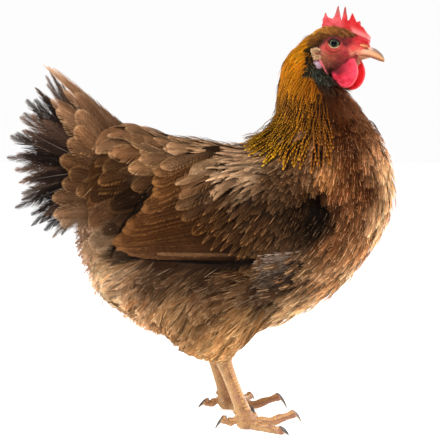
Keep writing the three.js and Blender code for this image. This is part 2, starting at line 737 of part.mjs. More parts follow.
// ---------------------------------------------------------------- legs
/** A table of sections moved and mirrored for one leg. */
function thighTable(leg) {
  const shift = leg.hock.x - LEGS[0].hock.x;
  return THIGH.map(([backX, backZ, frontX, frontZ, half, widest, fullness, y], row) => {
    const share = row / (THIGH.length - 1);
    return [
      backX + shift * share,
      backZ,
      frontX + shift * share,
      frontZ,
      half,
      widest,
      fullness,
      leg.side * THREE.MathUtils.lerp(y, y + leg.hock.y - LEGS[0].hock.y, share),
    ];
  });
}

const thighTube = (leg, grow = 0) => evenTube(thighTable(leg), 9, 16, grow);
const thighSolid = (leg) => thighTube(leg).subtract(wholeBody(GAP));

function shankTable(leg) {
  const along = new THREE.Vector2(leg.foot.x - leg.hock.x, ANKLE_Z - leg.hock.z);
  const front = new THREE.Vector2(-along.y, along.x).normalize();
  return SHANK.map(([share, radius, half]) => {
    const x = leg.hock.x + along.x * share;
    const z = leg.hock.z + along.y * share;
    return [
      x - front.x * radius,
      z - front.y * radius,
      x + front.x * radius,
      z + front.y * radius,
      half,
      0.5,
      2.0,
      leg.side * THREE.MathUtils.lerp(leg.hock.y, leg.foot.y, share),
    ];
  });
}

/** The shank with its row of scutes down the front and the pad under the toes' roots. */
function shankSolid(leg, grow = 0) {
  const table = shankTable(leg);
  const last = table.length - 1;
  const stops = [0];
  for (let i = 0; i < SHANK_SCUTES; i++) {
    stops.push(last * ((i + 0.06) / SHANK_SCUTES), last * ((i + 0.97) / SHANK_SCUTES));
  }
  const relief = (t, angle) => {
    const along = ((t / last) * SHANK_SCUTES) % 1;
    return Math.cos(angle) < -0.2 ? SCUTE_RISE * along : 0;
  };
  const shank = tube(table, stops, 10, grow, grow > 0 ? () => SCUTE_RISE : relief);
  const pad = egg(
    [leg.foot.x + PAD.forward, leg.side * leg.foot.y, PAD.z],
    [PAD.radius + grow, PAD.radius + grow, PAD.high + grow],
    10,
    6,
  );
  const joined = shank.add(pad);
  return grow > 0 ? joined : joined.trimByPlane([0, 0, 1], 0).subtract(thighTube(leg, GAP));
}

/** The height of a toe's middle line and its radius at a share of its length. */
function toeShape(toe, lift, share) {
  const knuckle = 0.35 * Math.cos(share * 3 * 2 * Math.PI);
  const radius = THREE.MathUtils.lerp(toe.root, toe.tip, share) + knuckle;
  const flat = radius - 0.5 + lift * THREE.MathUtils.smoothstep(share, 0.5, 1);
  return { radius, height: THREE.MathUtils.lerp(toe.height, flat, THREE.MathUtils.smoothstep(share, 0, 0.9)) };
}

/** Places a solid made along +X from the foot's middle as the leg's toe of that number, 0 the hind toe. */
const onFoot = (leg, number, solid) =>
  solid.rotate([0, 0, -leg.side * leg.toes[number]]).translate([leg.foot.x, leg.side * leg.foot.y, 0]);

function toeTube(leg, number, grow = 0) {
  const toe = TOES[number];
  const count = 9;
  const table = Array.from({ length: count }, (_, i) => {
    const share = i / (count - 1);
    const { radius, height } = toeShape(toe, leg.lifts[number], share);
    const x = toe.length * share;
    return [x, height + radius, x, height - radius, radius * 0.92, 0.55, 2.0];
  });
  return onFoot(leg, number, tube(table, stopsFrom(0, count - 1, 10), 7, grow));
}

function clawTube(leg, number) {
  const toe = TOES[number];
  const { height } = toeShape(toe, leg.lifts[number], 1);
  const count = 5;
  const table = Array.from({ length: count }, (_, i) => {
    const share = i / (count - 1);
    const radius = THREE.MathUtils.lerp(CLAW.radius, CLAW.tip, share);
    const x = toe.length - 3 + (CLAW.long + 3) * share;
    const z = THREE.MathUtils.lerp(height + 0.6, CLAW.tip + 0.2, share ** 1.8);
    return [x + radius * share, z + radius, x - radius * share, z - radius, radius * 0.8, 0.5, 2.0];
  });
  return onFoot(leg, number, tube(table, stopsFrom(0, count - 1, 5), 6));
}

const onFloor = (solid) => solid.trimByPlane([0, 0, 1], 0);

/** One leg's parts: thigh, shank and each toe with its claw. */
function legParts(leg) {
  const made = [
    part(`thigh_${leg.name}`, thighSolid(leg), FLUFF),
    part(`shank_${leg.name}`, shankSolid(leg), SCUTE),
  ];
  const root = shankSolid(leg, GAP);
  TOES.forEach((_, number) => {
    const others = TOES.slice(0, number).map((_, other) => toeTube(leg, other, GAP));
    const toe = onFloor(without(toeTube(leg, number), root, ...others));
    const claw = onFloor(without(clawTube(leg, number), toeTube(leg, number, GAP)));
    made.push(part(`toe_${leg.name}_${number + 1}`, toe, SCUTE));
    made.push(part(`claw_${leg.name}_${number + 1}`, claw, CLAW_HORN));
  });
  return made;
}

// ---------------------------------------------------------------- the hen
const { normal: neckNormal, distance: neckDistance } = neckPlane();
const whole = wholeBody();
const torso = whole.trimByPlane(neckNormal.map((v) => -v), GAP / 2 - neckDistance);
const torsoClear = wholeBody(GAP).trimByPlane(neckNormal.map((v) => -v), -GAP / 2 - neckDistance);
const throat = whole.trimByPlane(neckNormal, neckDistance + GAP / 2);
const besideHead = SIDES.flatMap(({ side }) => [earTuft(side, GAP), earlobeSolid(side, GAP)]);
const headClear = [skull(GAP), ...besideHead].map(inHead);
const neck = without(wasm.Manifold.union([throat, ...hackle()]), torsoClear, ...headClear);

const headGroup = new THREE.Group();
headGroup.position.x = HEAD_PIVOT_X;
headGroup.rotation.z = HEAD_TURN;
headGroup.add(
  part("head", headSolid(), FACE),
  part("comb", combSolid(), RED_SKIN),
  part("beak_upper", beakUpperSolid(), HORN),
  part("beak_lower", beakLowerSolid(), HORN),
);
for (const { name, side } of SIDES)
  headGroup.add(
    part(`eye_${name}`, eyeball(side), EYE_GLOSS),
    part(`wattle_${name}`, wattleSolid(side), RED_SKIN),
    part(`earlobe_${name}`, earlobeSolid(side), PALE_SKIN),
  );

const bird = new THREE.Group();
bird.position.y = MIDDLE_Y;
bird.add(headGroup, part("torso", torso, BROWN_FEATHER), part("neck", neck, GOLD_FEATHER));
bird.add(part("tail", tailSolid(), BLACK_FEATHER));
for (const { name, side } of SIDES) bird.add(part(`wing_${name}`, wingSolid(side), BROWN_FEATHER));
for (const leg of LEGS) bird.add(...legParts(leg));

const hen = new THREE.Group();
hen.add(bird);

export default hen;
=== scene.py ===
"""A life-size brown hen, standing: one skin, eyes, bill, comb, feet and a coat of barbed feathers."""

import math

import bmesh
import bpy
import numpy as np
from mathutils import Matrix, Vector
from mathutils.bvhtree import BVHTree
from mathutils.kdtree import KDTree


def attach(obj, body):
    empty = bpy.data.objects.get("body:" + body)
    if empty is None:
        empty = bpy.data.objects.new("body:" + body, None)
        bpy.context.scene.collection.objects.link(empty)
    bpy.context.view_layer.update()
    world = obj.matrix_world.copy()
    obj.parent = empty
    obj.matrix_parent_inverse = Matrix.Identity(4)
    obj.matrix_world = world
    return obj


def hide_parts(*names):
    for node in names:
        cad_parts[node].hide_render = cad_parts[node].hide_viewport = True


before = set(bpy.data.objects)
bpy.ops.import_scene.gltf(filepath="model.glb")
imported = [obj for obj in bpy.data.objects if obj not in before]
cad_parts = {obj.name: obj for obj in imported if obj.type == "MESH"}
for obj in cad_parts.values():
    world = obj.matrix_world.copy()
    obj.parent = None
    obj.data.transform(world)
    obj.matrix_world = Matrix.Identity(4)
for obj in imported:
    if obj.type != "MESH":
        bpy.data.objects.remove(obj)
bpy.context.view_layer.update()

# ---------------------------------------------------------------- sizes
# Millimetres, with Y from the bird's own middle plane, as the solids' tables have them.
MIDDLE_Y = -5.5
MM = 0.001
RIGHT, LEFT = -1, 1
SIDES = (("right", RIGHT), ("left", LEFT))
SEED = 1871

# [back x, back z, front x, front z, half width, where it is widest, fullness]
BODY = np.array([
    [-119, 214, -121, 177, 12, 0.5, 2.0],
    [-112, 247, -110, 147, 35, 0.5, 2.1],
    [-98, 290, -97, 119, 52, 0.52, 2.2],
    [-73, 298, -69, 99, 63, 0.52, 2.2],
    [-38, 289, -38, 83, 71, 0.52, 2.2],
    [-2, 284.5, 0, 79, 76, 0.52, 2.2],
    [25, 279.5, 42, 84, 77, 0.51, 2.2],
    [42, 280, 85, 99, 76, 0.5, 2.2],
    [50, 283, 131, 126, 73, 0.5, 2.2],
    [56, 287, 167.5, 167, 68, 0.5, 2.1],
    [60, 291, 187.5, 205, 62, 0.48, 2.1],
    [64, 297, 191, 240, 55, 0.46, 2.0],
    [69, 306, 181, 274.5, 47, 0.45, 2.0],
    [70.5, 320, 164, 304, 39, 0.44, 2.0],
    [73.5, 338, 147, 324, 32, 0.44, 2.0],
    [79.5, 360, 129, 334, 23, 0.45, 2.0],
    [96, 378, 121, 351, 12, 0.5, 2.0],
])
NECK_BASE = 11.4
THROAT = len(BODY) - 1
HEAD_MIDDLE = (10, 0, 366)
HEAD_PIVOT_X = 118
HEAD_TURN = math.radians(-20)
HEAD = np.array([
    [-20, 380.5, -16, 350, 10, 0.5, 2.0],
    [-12, 386, -10, 346, 14, 0.5, 2.1],
    [-1, 390.5, 0, 344, 16, 0.5, 2.2],
    [12, 391.5, 12, 345, 16.3, 0.48, 2.3],
    [24, 389, 23, 348.5, 15, 0.48, 2.3],
    [34, 384, 32, 354, 11, 0.5, 2.2],
    [41, 379.5, 38, 358.5, 7, 0.5, 2.1],
    [47, 375, 43, 362, 4, 0.5, 2.0],
    [49, 372.5, 45, 365, 2, 0.5, 2.0],
])
BEAK_UPPER = np.array([
    [32, 367, 32, 363.6, 6.2, 0.6, 2.0],
    [40, 371.6, 40, 362.6, 7.0, 0.65, 2.0],
    [46.5, 372.0, 46.5, 361.8, 6.6, 0.65, 2.0],
    [52.2, 370.6, 51, 360.2, 5.4, 0.6, 2.0],
    [57, 367.6, 55.3, 358.6, 4.0, 0.55, 2.0],
    [60.8, 363.8, 58.8, 357.6, 2.6, 0.5, 2.0],
    [62.8, 360.0, 61.4, 356.8, 1.3, 0.5, 2.0],
    [63.0, 357.8, 62.4, 356.6, 0.5, 0.5, 2.0],
])
BEAK_LOWER = np.array([
    [32, 364.0, 33, 358.4, 5.6, 0.3, 2.0],
    [38, 363.6, 38, 358.8, 5.9, 0.3, 2.0],
    [43.5, 363.0, 43.5, 359.8, 5.2, 0.3, 2.0],
    [48, 362.2, 47.6, 360.8, 3.6, 0.35, 2.0],
    [50.4, 361.6, 50.0, 361.0, 1.6, 0.4, 2.0],
])
EYE = {"x": 15.9, "z": 374.8, "radius": 6.2, "proud": 1.8, "gaze": 5}
EARLOBE = {"x": -1.0, "z": 354.0, "radii": (6.6, 3.3, 5.0)}
# The fold of skin in front of the earlobe, from its top to its bottom, as a row of beads
EAR_FOLD = {"x": (1.4, 7.6), "z": (358.8, 344.4), "beads": 10, "radii": (1.15, 1.6, 2.0), "reach": 2.1}
EAR_TUFT = {"middle": (-1.4, 17.0, 365.2), "radius": 2.6, "long": 4.2, "half": 0.5, "lift": 2.6,
            "ways": (30, 338), "count": 260, "tone": (222, 176, 130), "edge": (250, 222, 186)}
CHIN_TUFT = {"middle": (39.0, 4.0, 358.0), "radius": 3.2, "long": 6.5, "half": 0.8, "lift": 1.6,
             "ways": (200, 300), "count": 60, "tone": (222, 150, 120), "edge": (250, 196, 168)}
# The skin's rings round the eye: [radius, half width, how far it stands out]
SOCKET, LID_FOLD, LID_GROOVE, EYE_BAG = (3, 4.5, -1.5), (7.2, 1.1, 1.2), (8.8, 0.7, -0.5), (10.3, 0.9, 0.55)
# The eyelid's rings: [radius, how thick, how far it has left the eye]
LID_RINGS = (
    (4.7, 0.0, 0), (4.75, 0.55, 0), (5.0, 0.85, 0), (5.5, 0.95, 0.1), (6.1, 0.55, 0.5), (6.5, 0.25, 1),
    (7.0, 0.6, 1), (7.6, 0.45, 1), (8.3, -0.5, 1),
)
# The flaps over the nostrils: [x, z, half length, half height]
NOSTRIL_FLAPS = ((40.4, 373.4, 2.8, 1.3), (44.4, 372.3, 3.0, 1.1), (42.4, 373.0, 2.8, 1.1))
NOSTRIL = {"x": 45, "z": 369.9, "slope": 0.22, "long": 4.0, "high": 0.7, "deep": 1.4}
COMB = {"half": 2.6, "thin": 0.36, "wave": 1.3, "wave_long": 7.0, "voxel": 0.5}
WATTLES = {
    RIGHT: {"x": 25.0, "y": 9.6, "z": 347.2, "long": 13.4, "high": 15.8, "thick": 2.5},
    LEFT: {"x": 26.8, "y": 9.2, "z": 346.4, "long": 15.0, "high": 16.6, "thick": 2.6},
}
# The comb's edge from back to front: [x, z]
COMB_EDGE = (
    (2, 386), (-0.2, 390.4), (-0.9, 393.4), (0.5, 396.4), (0.0, 399.3), (1.4, 401.6), (1.7, 405.9),
    (2.6, 406.6), (4.0, 403.4), (4.8, 401.6), (7.4, 400.6), (10.2, 400.0), (11.9, 403.1), (13.6, 408.2),
    (15.2, 412.8), (15.8, 412.6), (16.9, 407), (17.9, 401.8), (18.9, 396.4), (20.1, 401.2), (21.1, 406.3),
    (22.5, 411.8), (23.1, 411.6), (24.3, 406.3), (25.0, 400.6), (25.9, 396.6), (27.7, 399.2),
    (29.0, 402.4), (30.3, 405.5), (32.0, 402.5), (33.2, 399.3), (34.6, 395.9), (36.3, 396.4),
    (37.8, 397.7), (38.5, 394.2), (39.2, 391.7), (41.6, 390.4), (43.3, 387.4), (46.0, 384), (48.0, 381.8),
    (47.4, 379.5), (47.8, 377), (46.6, 374.6), (41, 371),
)
# Tones of the bare face: [x, z, tone], in the head's frame; the darkest ones under the jaw, at z 349 to 354
# above the wattles, are painted shade
FACE_TONES = (
    (15, 382, (66, 22, 16)), (5, 379, (84, 34, 24)), (25, 380, (84, 20, 18)), (27, 374.5, (70, 6, 12)),
    (22, 376, (100, 24, 24)), (31, 377, (110, 14, 20)), (37, 378, (190, 40, 44)),
    (40, 374, (186, 40, 46)), (34, 370, (196, 54, 56)), (24.5, 371, (176, 60, 58)),
    (38.5, 366, (212, 134, 104)), (33, 365.5, (204, 116, 92)), (36, 362.4, (120, 12, 18)),
    (28, 365, (156, 34, 42)), (32, 359.5, (128, 12, 26)), (14, 368, (170, 52, 44)),
    (8, 371, (166, 44, 42)), (6.5, 371.5, (190, 76, 70)), (3.4, 366.5, (180, 104, 84)),
    (1, 375, (50, 26, 18)), (4, 377, (60, 26, 20)), (6, 362, (150, 84, 58)), (15, 361, (140, 62, 44)),
    (22, 360, (120, 30, 32)), (10, 355, (120, 62, 46)), (17, 354, (84, 20, 22)), (26, 353, (84, 4, 14)),
    (12, 349, (52, 14, 16)), (2, 358, (140, 80, 56)), (41, 370, (200, 80, 66)), (41, 359, (176, 110, 84)),
    (29, 357, (110, 6, 20)),
)

LEGS = (
    {"name": "right", "side": RIGHT, "hock": (16, 40, 73), "foot": (40, 50),
     "toes": (190, 74, 26, -40), "lifts": (5.5, 1.5, 5.5, 0)},
    {"name": "left", "side": LEFT, "hock": (4, 42, 73), "foot": (22.5, 51),
     "toes": (182, 50, 1, -56), "lifts": (3, 1.5, 8.5, 3)},
)
ANKLE_Z = 12
THIGH = np.array([
    [-50, 152, 66, 166, 30, 0.5, 2.1, 36],
    [-46, 105, 65, 114, 31, 0.5, 2.1, 40],
    [-32, 85, 50, 91, 26, 0.5, 2.1, 42],
    [-15, 73, 36, 79, 18, 0.5, 2.0, 41],
    [2, 68, 30, 69.5, 11.5, 0.5, 2.0, 40],
    [8, 62, 24, 63, 7.5, 0.5, 2.0, 40],
])
SHANK = ((-0.05, 7, 5.6), (0.12, 7.6, 6), (0.3, 6.7, 5), (0.6, 6.3, 4.8), (0.85, 7, 5.4), (1, 8.4, 7.4))
PAD = {"radius": 10.6, "high": 8.6, "z": 6.8, "forward": 2}
# Toes from the hind one: [length, radius at the root, at the tip, height of the root's middle]
TOES = ((21, 4.4, 3.6, 14), (38, 4.6, 3.6, 4.6), (55, 4.9, 3.8, 4.6), (46, 4.8, 3.8, 4.6))
CLAW = {"long": 8.0, "radius": 3.0, "tip": 0.6, "root": 3.0}
SPUR = (3.0, 3.2, 2.6)  # the radii of the knob behind the shank
# Plates: how many on the shank, over which share of it, and the space of those on the toes
SCUTES = {"shank": 19, "span": (0.06, 0.9), "toe_pitch": 3.3}
SCUTE_INPUTS = {"Wrap": 1.25, "Rise": 0.13, "Jitter": 0.05, "Seed": 3}

WING_MIDDLE = np.array([15.0, 208.0])
WING_PLATE = np.array([
    [112, 217], [101, 235], [70, 245], [24, 252], [-20, 247], [-48, 228],
    [-58, 196], [-42, 172], [0, 164], [54, 162], [92, 175], [109, 197],
])
WING_PROUD, WING_RIM = 6.0, 1.4
WING_DEPTH = 4.0  # how deep its skin lies under its feathers
TAIL_ROOT = np.array([-85.0, 250.0])
TAIL_TOP_ANGLE, TAIL_LOW_ANGLE = 104, 232
TAIL_SPLAY = (2, 14)  # degrees from the middle plane, at the top leaf and at the lowest
TAIL_ROOT_HALF = (4, 13)  # how far those leaves stand from it at the root
TAIL_CORE = (52, 66)  # how far its flesh reaches

COAT_DEPTH = 6.0  # the skin lies this far inside the solids' surface
SKIN_VOXEL = 2.2


# ---------------------------------------------------------------- curves and sections
def smooth(value, low, high):
    """0 below low, 1 above high, smooth between."""
    share = np.clip((np.asarray(value, float) - low) / (high - low), 0, 1)
    return share * share * (3 - 2 * share)


def blend(a, b, share):
    """The way from a to b at a share."""
    return a + (b - a) * share


def spline_rows(table, t):
    """Rows of a table at t, on a smooth curve through them."""
    rows = np.asarray(table, float)
    t = np.asarray(t, float)
    i = np.clip(np.floor(t).astype(int), 0, len(rows) - 2)
    f = (t - i)[..., None]
    padded = np.vstack([2 * rows[0] - rows[1], rows, 2 * rows[-1] - rows[-2]])
    a, b, c, d = (padded[i + k] for k in range(4))
    return b + 0.5 * f * (c - a + f * (2 * a - 5 * b + 4 * c - d + f * (3 * (b - c) + d - a)))


def section_points(table, t, angle, grow=0.0):
    """Points on the sections at t, with angle 0 on the back and a quarter turn on the left side."""
    t, angle, grow = np.broadcast_arrays(np.asarray(t, float), angle, grow)
    row = spline_rows(table, t)
    half, widest, fullness = row[..., 4], row[..., 5], row[..., 6]
    middle = row[..., 7] if row.shape[-1] > 7 else 0.0
    cos, sin = np.cos(angle), np.sin(angle)
    fall = np.abs(cos) ** (2 / fullness)
    share = np.where(cos > 0, widest * (1 - fall), widest + (1 - widest) * fall)
    y = half * np.sign(sin) * np.abs(sin) ** (2 / fullness)
    run_x, run_z = row[..., 2] - row[..., 0], row[..., 3] - row[..., 1]
    share = share + (share - 0.5) * 2 * grow / np.hypot(run_x, run_z)
    grown = 1 + np.maximum(grow / half, -0.7)
    return np.stack([row[..., 0] + share * run_x, middle + y * grown, row[..., 1] + share * run_z], -1)


def ring_angles(sides):
    """Equal turns round a ring."""
    return np.linspace(0, 2 * math.pi, sides, endpoint=False)


def tube(table, rings, sides, grow=0.0):
    """A closed tube through a table's sections, as points and faces."""
    t = np.linspace(0, len(table) - 1, rings)
    depth = grow(t)[:, None] if callable(grow) else grow
    return skinned(section_points(table, t[:, None], ring_angles(sides)[None, :], depth))


def skinned(grid):
    """Points and faces of a tube through rings of points, closed at both ends."""
    rings, sides = grid.shape[:2]
    faces = grid_faces(rings, sides, True)
    caps = [list(range(sides))[::-1], list(range((rings - 1) * sides, rings * sides))]
    return grid.reshape(-1, 3), faces.tolist() + caps


def grid_faces(rings, sides, joined):
    """Quads of a grid of points; joined ones have their last column meet the first."""
    r, s = np.meshgrid(np.arange(rings - 1), np.arange(sides if joined else sides - 1), indexing="ij")
    a = r * sides + s
    b = r * sides + (s + 1) % sides
    return np.stack([a, b, b + sides, a + sides], -1).reshape(-1, 4)


def ball_angles(rings, sides, first, last):
    """Angles down a ball from its pole, as a column, and round it, as a row."""
    return np.linspace(first, last, rings)[:, None], ring_angles(sides)[None, :]


def egg(centre, radii, sides=24, rings=16):
    """A ball of three radii, as points and faces."""
    polar, turn = ball_angles(rings, sides, 0.02, math.pi - 0.02)
    ball = np.stack([np.sin(polar) * np.cos(turn), np.sin(polar) * np.sin(turn),
                     np.cos(polar) * np.ones_like(turn)], -1)
    return skinned(ball * np.array(radii, float) + np.array(centre, float))


def join(*shapes):
    """Several shapes, each points and faces, as one."""
    points, faces, count = [], [], 0
    for more, lists in shapes:
        points.append(more)
        faces += [[i + count for i in face] for face in lists]
        count += len(more)
    return np.vstack(points), faces


def split(points):
    """Points' x, y and z, each as an array."""
    return np.moveaxis(np.asarray(points, float), -1, 0)


def ridge(value, middle, half):
    """1 on a ridge's middle, and nearly 0 at twice its half width to either side."""
    return np.exp(-(((value - middle) / half) ** 2))


def turn_head(points):
    """From the head's own frame to the bird's."""
    cos, sin = math.cos(HEAD_TURN), math.sin(HEAD_TURN)
    x, y, z = split(points)
    return np.stack([HEAD_PIVOT_X + x * cos - y * sin, x * sin + y * cos, z], -1)


def unturn_head(points):
    """From the bird's frame to the head's own."""
    cos, sin = math.cos(HEAD_TURN), math.sin(HEAD_TURN)
    x, y, z = split(points)
    x = x - HEAD_PIVOT_X
    return np.stack([x * cos + y * sin, -x * sin + y * cos, z], -1)


def in_head(shape):
    """A shape made in the head's frame, in its place on the bird."""
    return turn_head(shape[0]), shape[1]


def head_ways(ways):
    """Directions in the head's frame, turned with it."""
    return turn_head(ways) - turn_head(np.zeros(3))


# ---------------------------------------------------------------- meshes
def new_mesh(name, points, faces):
    """A mesh of the bird's points, in the row's metres."""
    mesh = bpy.data.meshes.new(name)
    places = (np.asarray(points, float) + (0, MIDDLE_Y, 0)) * MM
    if isinstance(faces, np.ndarray):
        corners, size = faces.reshape(-1), faces.shape[1]
        starts = np.arange(len(faces)) * size
    else:
        corners = np.fromiter((i for face in faces for i in face), np.int32)
        sizes = np.array([len(face) for face in faces])
        starts = np.concatenate([[0], np.cumsum(sizes)[:-1]])
    mesh.vertices.add(len(places))
    mesh.vertices.foreach_set("co", places.astype(np.float32).reshape(-1))
    mesh.loops.add(len(corners))
    mesh.loops.foreach_set("vertex_index", corners.astype(np.int32))
    mesh.polygons.add(len(starts))
    mesh.polygons.foreach_set("loop_start", starts.astype(np.int32))
    mesh.update(calc_edges=True)
    mesh.validate()
    return mesh


def placed(name, data):
    """An object of the scene that holds a mesh, a lamp or a camera."""
    thing = bpy.data.objects.new(name, data)
    bpy.context.scene.collection.objects.link(thing)
    return thing


def plain_mesh(thing):
    """What an object's modifiers make of it, as a plain mesh; the object goes."""
    made = bpy.data.meshes.new_from_object(thing.evaluated_get(bpy.context.evaluated_depsgraph_get()))
    thing.modifiers.clear()
    bpy.data.objects.remove(thing)
    return made


def piece(name, mesh, material, nodes):
    """A finished piece of the bird that stands for the solids named."""
    thing = placed(name, mesh)
    mesh.materials.clear()
    mesh.materials.append(material)
    mesh.polygons.foreach_set("use_smooth", np.full(len(mesh.polygons), True))
    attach(thing, "root")
    if nodes:
        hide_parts(*nodes)


def mesh_points(mesh):
    """A mesh's points back in the bird's millimetres."""
    places = np.empty(len(mesh.vertices) * 3, np.float32)
    mesh.vertices.foreach_get("co", places)
    return places.reshape(-1, 3).astype(float) / MM - (0, MIDDLE_Y, 0)


def place_points(mesh, points):
    """Moves a mesh's points to places in the bird's millimetres."""
    places = ((points + (0, MIDDLE_Y, 0)) * MM).astype(np.float32)
    mesh.vertices.foreach_set("co", places.reshape(-1))
    mesh.update()


def remeshed(name, shape, voxel):
    """One closed surface round overlapping shapes."""
    thing = placed(name, new_mesh(name, *shape))
    remesh = thing.modifiers.new("one skin", "REMESH")
    remesh.mode = "VOXEL"
    remesh.voxel_size = voxel * MM
    made = plain_mesh(thing)
    made.name = name
    return made


def relax(mesh, points, rounds, weight=1.0, pull=0.6):
    """Points moved towards their neighbours' middle."""
    edges = np.empty(len(mesh.edges) * 2, np.int32)
    mesh.edges.foreach_get("vertices", edges)
    a, b = edges.reshape(-1, 2).T
    count = np.bincount(np.concatenate([a, b]), minlength=len(points))[:, None]
    weight = np.broadcast_to(weight, (len(points),))[:, None]
    for _ in range(rounds):
        total = np.zeros_like(points)
        np.add.at(total, a, points[b])
        np.add.at(total, b, points[a])
        points = points + pull * weight * (total / np.maximum(count, 1) - points)
    return points


def triangles_of(mesh):
    """The corners of a mesh's triangles."""
    mesh.calc_loop_triangles()
    corners = np.empty(len(mesh.loop_triangles) * 3, np.int32)
    mesh.loop_triangles.foreach_get("vertices", corners)
    return corners.reshape(-1, 3)


def point_normals(points, triangles):
    """Each point's normal, from the triangles round it by their areas."""
    a, b, c = (points[triangles[:, k]] for k in range(3))
    across = np.cross(b - a, c - a)
    normals = np.zeros_like(points)
    for k in range(3):
        np.add.at(normals, triangles[:, k], across)
    return unit(normals)


def softened(mesh, rounds, lumps):
    """A mesh's points, smoothed and then moved by lumps of [depth, size, seed], and their normals."""
    points = relax(mesh, mesh_points(mesh), rounds)
    normals = point_normals(points, triangles_of(mesh))
    depth = sum(deep * ripple(points, size, seed) for deep, size, seed in lumps)
    return points + normals * depth[:, None], normals


def unit(vectors):
    """Vectors of length 1."""
    return vectors / np.maximum(np.linalg.norm(vectors, axis=-1, keepdims=True), 1e-9)


def add_map(mesh, name, values):
    """A UV map from a value for each point."""
    layer = mesh.uv_layers.new(name=name)
    corners = np.empty(len(mesh.loops), np.int32)
    mesh.loops.foreach_get("vertex_index", corners)
    layer.uv.foreach_set("vector", values[corners].astype(np.float32).reshape(-1))
    return layer


def add_values(mesh, name, values, kind="FLOAT"):
    """A named value on each point: a number, or a colour of three."""
    attribute = mesh.attributes.new(name, kind, "POINT")
    if kind == "FLOAT_COLOR":
        values = np.hstack([values, np.ones((len(values), 1))])
        attribute.data.foreach_set("color", values.astype(np.float32).reshape(-1))
    else:
        attribute.data.foreach_set("value", np.asarray(values, np.float32))


# ---------------------------------------------------------------- the surfaces feathers lie on
def half_width(row, share):
    """Half a section's width at a share of the way from its back to its front."""
    widest, fullness = row[..., 5], row[..., 6]
    off = np.where(share < widest, 1 - share / widest, (share - widest) / (1 - widest))
    cos = np.clip(off, 0, 1) ** (fullness / 2)
    return row[..., 4] * (1 - cos * cos) ** (1 / fullness)


def flank_at(x, z):
    """Half the body's width at places of the side view, on the section found by halving."""
    x, z = np.asarray(x, float), np.asarray(z, float)
    low, high = np.zeros(x.shape), np.full(x.shape, NECK_BASE)
    for _ in range(20):
        t = (low + high) / 2
        row = spline_rows(BODY, t)
        run = row[..., 2:4] - row[..., 0:2]
        crossed = run[..., 0] * (z - row[..., 1]) - run[..., 1] * (x - row[..., 0])
        low, high = np.where(crossed > 0, t, low), np.where(crossed > 0, high, t)
    row = spline_rows(BODY, low)
    run = row[..., 2:4] - row[..., 0:2]
    along = (x - row[..., 0]) * run[..., 0] + (z - row[..., 1]) * run[..., 1]
    return half_width(row, along / (run**2).sum(-1))


def cheek_at(x, z):
    """Half the head's width at places of its own side view."""
    x, z = np.broadcast_arrays(np.asarray(x, float), np.asarray(z, float))
    middles = (HEAD[:, 0] + HEAD[:, 2]) / 2
    row = spline_rows(HEAD, np.interp(x, middles, np.arange(len(HEAD))))
    return half_width(row, (row[..., 1] - z) / (row[..., 1] - row[..., 3]))


def plate_reach(bearing):
    """How far the wing's plate reaches from its middle, at bearings."""
    edge = WING_PLATE - WING_MIDDLE
    at = np.arctan2(edge[:, 1], edge[:, 0]) % (2 * math.pi)
    return np.interp(bearing, at, np.hypot(*edge.T), period=2 * math.pi)


def plate_share(x, z):
    """The way from the wing's middle to its plate's edge, 1 on the edge."""
    dx, dz = np.asarray(x, float) - WING_MIDDLE[0], np.asarray(z, float) - WING_MIDDLE[1]
    return np.hypot(dx, dz) / plate_reach(np.arctan2(dz, dx) % (2 * math.pi))


def plate_proud(share):
    """How far the wing's plate stands out of the flank, at shares of the way to its edge."""
    return WING_RIM + (WING_PROUD - WING_RIM) * (1 - np.minimum(share, 1) ** 3)


def tail_spread(degrees, reach):
    """How far a leaf of the tail stands from the middle plane."""
    low = np.clip((degrees - TAIL_TOP_ANGLE) / (TAIL_LOW_ANGLE - TAIL_TOP_ANGLE), 0, 1)
    return blend(*TAIL_ROOT_HALF, low) + reach * np.sin(np.radians(blend(*TAIL_SPLAY, low)))


def tail_points(side, degrees, reach, out):
    """Places on a leaf of the tail: a turn from straight ahead, a reach and a way out of the leaf."""
    angle = np.radians(degrees)
    return np.stack([TAIL_ROOT[0] + reach * np.cos(angle), side * (tail_spread(degrees, reach) + out),
                     TAIL_ROOT[1] + reach * np.sin(angle)], -1)


def wing_plate(side):
    """The folded wing under its feathers, a low plate sunk in the flank."""
    bearing = ring_angles(48)
    reach = plate_reach(bearing)

    def ring(share, out):
        x = WING_MIDDLE[0] + share * reach * np.cos(bearing)
        z = WING_MIDDLE[1] + share * reach * np.sin(bearing)
        return np.stack([x, side * (flank_at(x, z) + out), z], -1)

    outer = [ring(share, plate_proud(share) - WING_DEPTH) for share in (0.1, 0.3, 0.5, 0.7, 0.85, 0.95)]
    inner = [ring(share, -14) for share in (0.9, 0.5)]
    return skinned(np.stack(outer + inner))


def tail_core():
    """The flesh that the tail's feathers grow from."""
    angles = np.linspace(TAIL_TOP_ANGLE, TAIL_LOW_ANGLE, 12)
    reach = np.linspace(*TAIL_CORE, 12)

    def ring(share, out):
        right = tail_points(RIGHT, angles, share * reach, out)
        left = tail_points(LEFT, angles, share * reach, out)
        return np.vstack([right, left[::-1]])

    return skinned(np.stack([ring(0.25, 1), ring(0.6, 0), ring(0.85, -2)]))


def thigh_table(leg):
    """The thigh's sections, moved over to the leg's own hock."""
    shift = leg["hock"][0] - LEGS[0]["hock"][0]
    rows = THIGH.copy()
    share = np.linspace(0, 1, len(rows))
    rows[:, 0] += shift * share
    rows[:, 2] += shift * share
    rows[:, 7] = leg["side"] * (rows[:, 7] + (leg["hock"][1] - LEGS[0]["hock"][1]) * share)
    return rows


def body_depth(t):
    """How deep the skin lies under the coat along the body, less up the neck."""
    return -blend(COAT_DEPTH, 2.0, smooth(t, 11.5, 15.5))


# ---------------------------------------------------------------- skin
def face_weight(local):
    """1 on the bare face, in the head's frame, and 0 under the feathers."""
    x, _, z = split(local)
    return smooth(x, -9, -3) * smooth(z, 339, 344)


